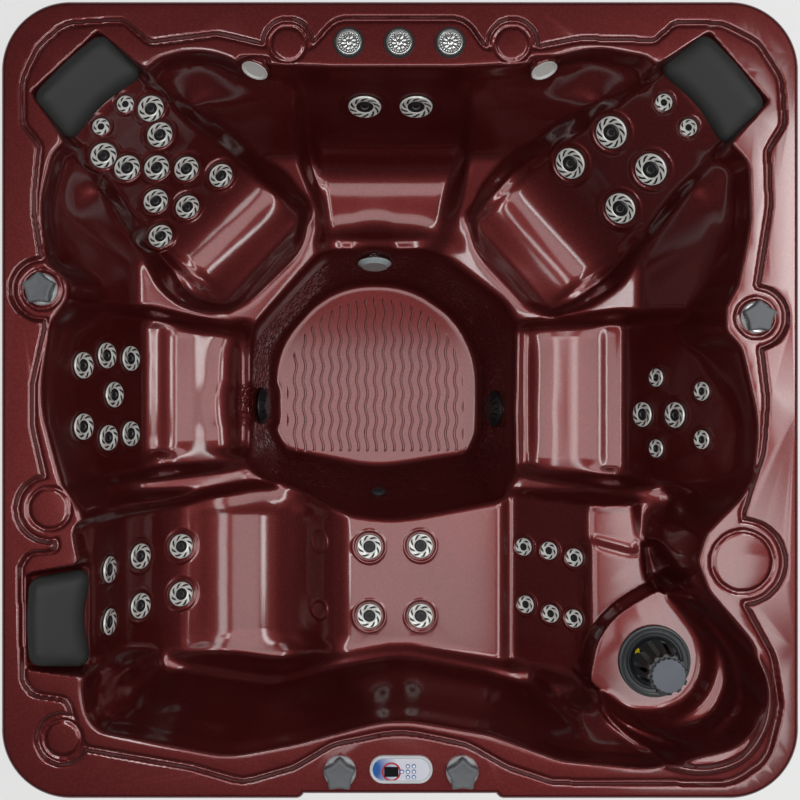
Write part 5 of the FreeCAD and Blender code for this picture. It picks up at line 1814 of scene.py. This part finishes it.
@dataclass
class CarriedNodes:
    """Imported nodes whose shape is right, each with its finish."""

    nodes: dict[str, Object]

    def finishes(self) -> dict[str, Finish]:
        """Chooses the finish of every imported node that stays.

        Returns:
            Each node's name with its finish.
        """
        table = {
            "control_panel": ControlPanel().overlay(),
            "display_window": DISPLAY_GLASS,
            "knob_collars": COLLAR_METAL,
            "rear_valve_rings": BLACK_ABS,
            "spout_lenses": SPOUT_LENS,
            "filter_canister": FILTER_PVC,
            "filter_cartridge": FILTER_CLOTH,
            "skimmer_cage": FILTER_PVC,
            "skimmer_cap": CAP_ABS,
            "suction_covers": BLACK_ABS,
            "footwell_light": LIGHT_LENS,
            "drain_fitting": FILTER_PVC,
            "jet_nozzles": BLACK_ABS,
            "large_jet_nozzles": BLACK_ABS,
            "jet_bodies": PVC_PIPE,
            "jet_lock_nuts": PVC_PIPE,
            "valve_bodies": PVC_PIPE,
            "water_pipes": PVC_PIPE,
            "pillow_pins": BLACK_ABS,
            "panel_screws": STEEL,
            "corner_posts": POST_BOARD,
            "base_pan": BASE_ABS,
            "frame_rails": TIMBER,
            "frame_studs": TIMBER,
            "footwell_cradle": TIMBER,
            "pump_motors": MOTOR_ENAMEL,
            "pump_wet_ends": BLACK_ABS,
            "heater": STEEL,
            "control_box": POWDER_COAT,
        }
        for side in ("front", "rear", "left", "right"):
            table[side + "_panel"] = CABINET_BOARD
        for name in self.nodes:
            if name.startswith("button_"):
                table[name] = BUTTON_RUBBER
        return table

    def dress(self) -> None:
        """Gives each node its finish."""
        for name, finish in self.finishes().items():
            materials = self.nodes[name].data.materials
            materials.clear()
            materials.append(finish.build())
            log.info("node %s in %s", name, finish.name)


@dataclass
class Studio:
    """Pale floor, soft lights and the straight-down camera."""

    camera_height: float = 3.70
    lens_mm: float = 47.2
    floor_half: float = 9.0
    floor_drop: float = 2.0 * MM
    paper: str = "#eeedeb"
    paper_glow: float = 0.6
    horizon: tuple[float, str] = (0.08, "#f4f4f4")
    zenith: tuple[float, str] = (0.25, "#3f3f41")
    sensor_mm: float = 36.0

    def floor(self) -> Object:
        """Lays a pale floor that shows white to the camera and keeps the shadow.

        Returns:
            The floor, which isn't part of the tub.
        """
        bm = bmesh.new()
        bmesh.ops.create_grid(bm, x_segments=8, y_segments=8, size=self.floor_half)
        mesh = bpy.data.meshes.new("studio_floor")
        bm.to_mesh(mesh)
        bm.free()
        obj = bpy.data.objects.new("studio_floor", mesh)
        obj.location.z = -self.floor_drop
        bpy.context.scene.collection.objects.link(obj)
        material = bpy.data.materials.new("studio_paper")
        material.use_nodes = True
        tree = material.node_tree
        tree.nodes.clear()
        paper = add_node(tree, "ShaderNodeBsdfPrincipled", {
            "Base Color": linear(self.paper),
            "Roughness": 0.9,
        })
        white = add_node(tree, "ShaderNodeEmission", {"Color": (1.0, 1.0, 1.0, 1.0), "Strength": 1.0})
        rays = add_node(tree, "ShaderNodeLightPath")
        seen = add_node(tree, "ShaderNodeMath", {
            0: rays.outputs["Is Camera Ray"],
            1: rays.outputs["Is Glossy Ray"],
        }, operation="MAXIMUM")
        seen = add_node(tree, "ShaderNodeMath", {
            0: seen.outputs["Value"],
            1: rays.outputs["Is Transmission Ray"],
        }, operation="MAXIMUM")
        share = add_node(tree, "ShaderNodeMath", {
            0: seen.outputs["Value"],
            1: self.paper_glow,
        }, operation="MULTIPLY")
        mixed = add_node(tree, "ShaderNodeMixShader", {
            0: share.outputs["Value"],
            1: paper.outputs["BSDF"],
            2: white.outputs["Emission"],
        })
        add_node(tree, "ShaderNodeOutputMaterial", {"Surface": mixed.outputs["Shader"]})
        mesh.materials.append(material)
        return obj

    def lights(self) -> None:
        """Hangs the soft boxes, which all face straight down."""
        # Name, place, width and length, power in watts
        for name, place, size, power in (
            ("ceiling_box", (-0.05, -0.7, 5.0), (2.1, 2.3), 46.0),
            ("right_box", (1.95, -1.35, 5.0), (0.9, 1.9), 32.0),
            ("deck_strip", (2.28, 0.85, 5.0), (0.34, 2.5), 15.5),
            ("right_strip", (2.7, 0.9, 5.0), (0.5, 2.0), 42.0),
            ("seat_strip_left", (-1.45, 0.1, 4.9), (0.35, 3.2), 44.0),
            ("seat_strip_right", (1.25, 0.6, 4.9), (0.35, 2.2), 21.0),
        ):
            data = bpy.data.lights.new(name, "AREA")
            data.shape = "RECTANGLE"
            data.size, data.size_y = size
            data.energy = power
            obj = bpy.data.objects.new(name, data)
            obj.location = place
            bpy.context.scene.collection.objects.link(obj)

    def world(self) -> None:
        """Soft grey overhead, white towards the horizon."""
        world = bpy.data.worlds.new("studio_world")
        bpy.context.scene.world = world
        world.use_nodes = True
        tree = world.node_tree
        tree.nodes.clear()
        coords = add_node(tree, "ShaderNodeTexCoord")
        ray = add_node(tree, "ShaderNodeSeparateXYZ", {"Vector": coords.outputs["Generated"]})
        tone = add_node(tree, "ShaderNodeValToRGB", {"Fac": ray.outputs["Z"]})
        for element, (position, colour) in zip(tone.color_ramp.elements, (self.horizon, self.zenith)):
            element.position = position
            element.color = linear(colour)
        sky = add_node(tree, "ShaderNodeBackground", {"Color": tone.outputs["Color"]})
        add_node(tree, "ShaderNodeOutputWorld", {"Surface": sky.outputs["Background"]})

    def camera(self) -> None:
        """Camera straight above the middle of the tub, front at the bottom."""
        data = bpy.data.cameras.new("photo_camera")
        data.lens = self.lens_mm
        data.sensor_width = self.sensor_mm
        obj = bpy.data.objects.new("photo_camera", data)
        obj.location = (0.0, 0.0, self.camera_height)
        bpy.context.scene.collection.objects.link(obj)
        bpy.context.scene.camera = obj

    def build(self) -> None:
        """Sets up the whole studio."""
        self.floor()
        self.lights()
        self.world()
        self.camera()
        bpy.context.scene.view_settings.view_transform = "Standard"


def main() -> None:
    """Builds every sub-assembly."""
    logging.basicConfig(level=logging.INFO, format="%(message)s")
    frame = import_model()
    nodes = frame["nodes"]
    CarriedNodes(nodes).dress()
    AcrylicShell(nodes).build()
    SpoutBosses(nodes).build()
    for name in ("corner_pillow_left", "corner_pillow_right"):
        Pillow(nodes, name, stretch=1.16, outward=14 * MM).build()
    Pillow(nodes, "lounge_pillow", stretch=1.06).build()
    for kind in (JetKind.NECK, JetKind.SMALL, JetKind.MEDIUM):
        JetTrim(nodes, kind.value[0], kind).build()
    for name in sorted(n for n in nodes if n.startswith(JetKind.LARGE.value[0]) and n[-1].isdigit()):
        JetTrim(nodes, name, JetKind.LARGE, name + "_body").build()
    collars = seats(nodes["knob_collars"])
    for name in ("left_air_knob", "right_air_knob", "left_diverter_knob", "right_diverter_knob"):
        low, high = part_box(name)
        middle = (low + high) / 2
        near = min(collars, key=lambda collar: (collar.middle.xy - middle.xy).length)
        StarKnob(name).build(near.middle)
    for place in ("left", "middle", "right"):
        RearCap("rear_valve_" + place).build()
    ControlPanel().build()
    FilterTrim().build()
    Studio().build()


if __name__ == "__main__":
    main()
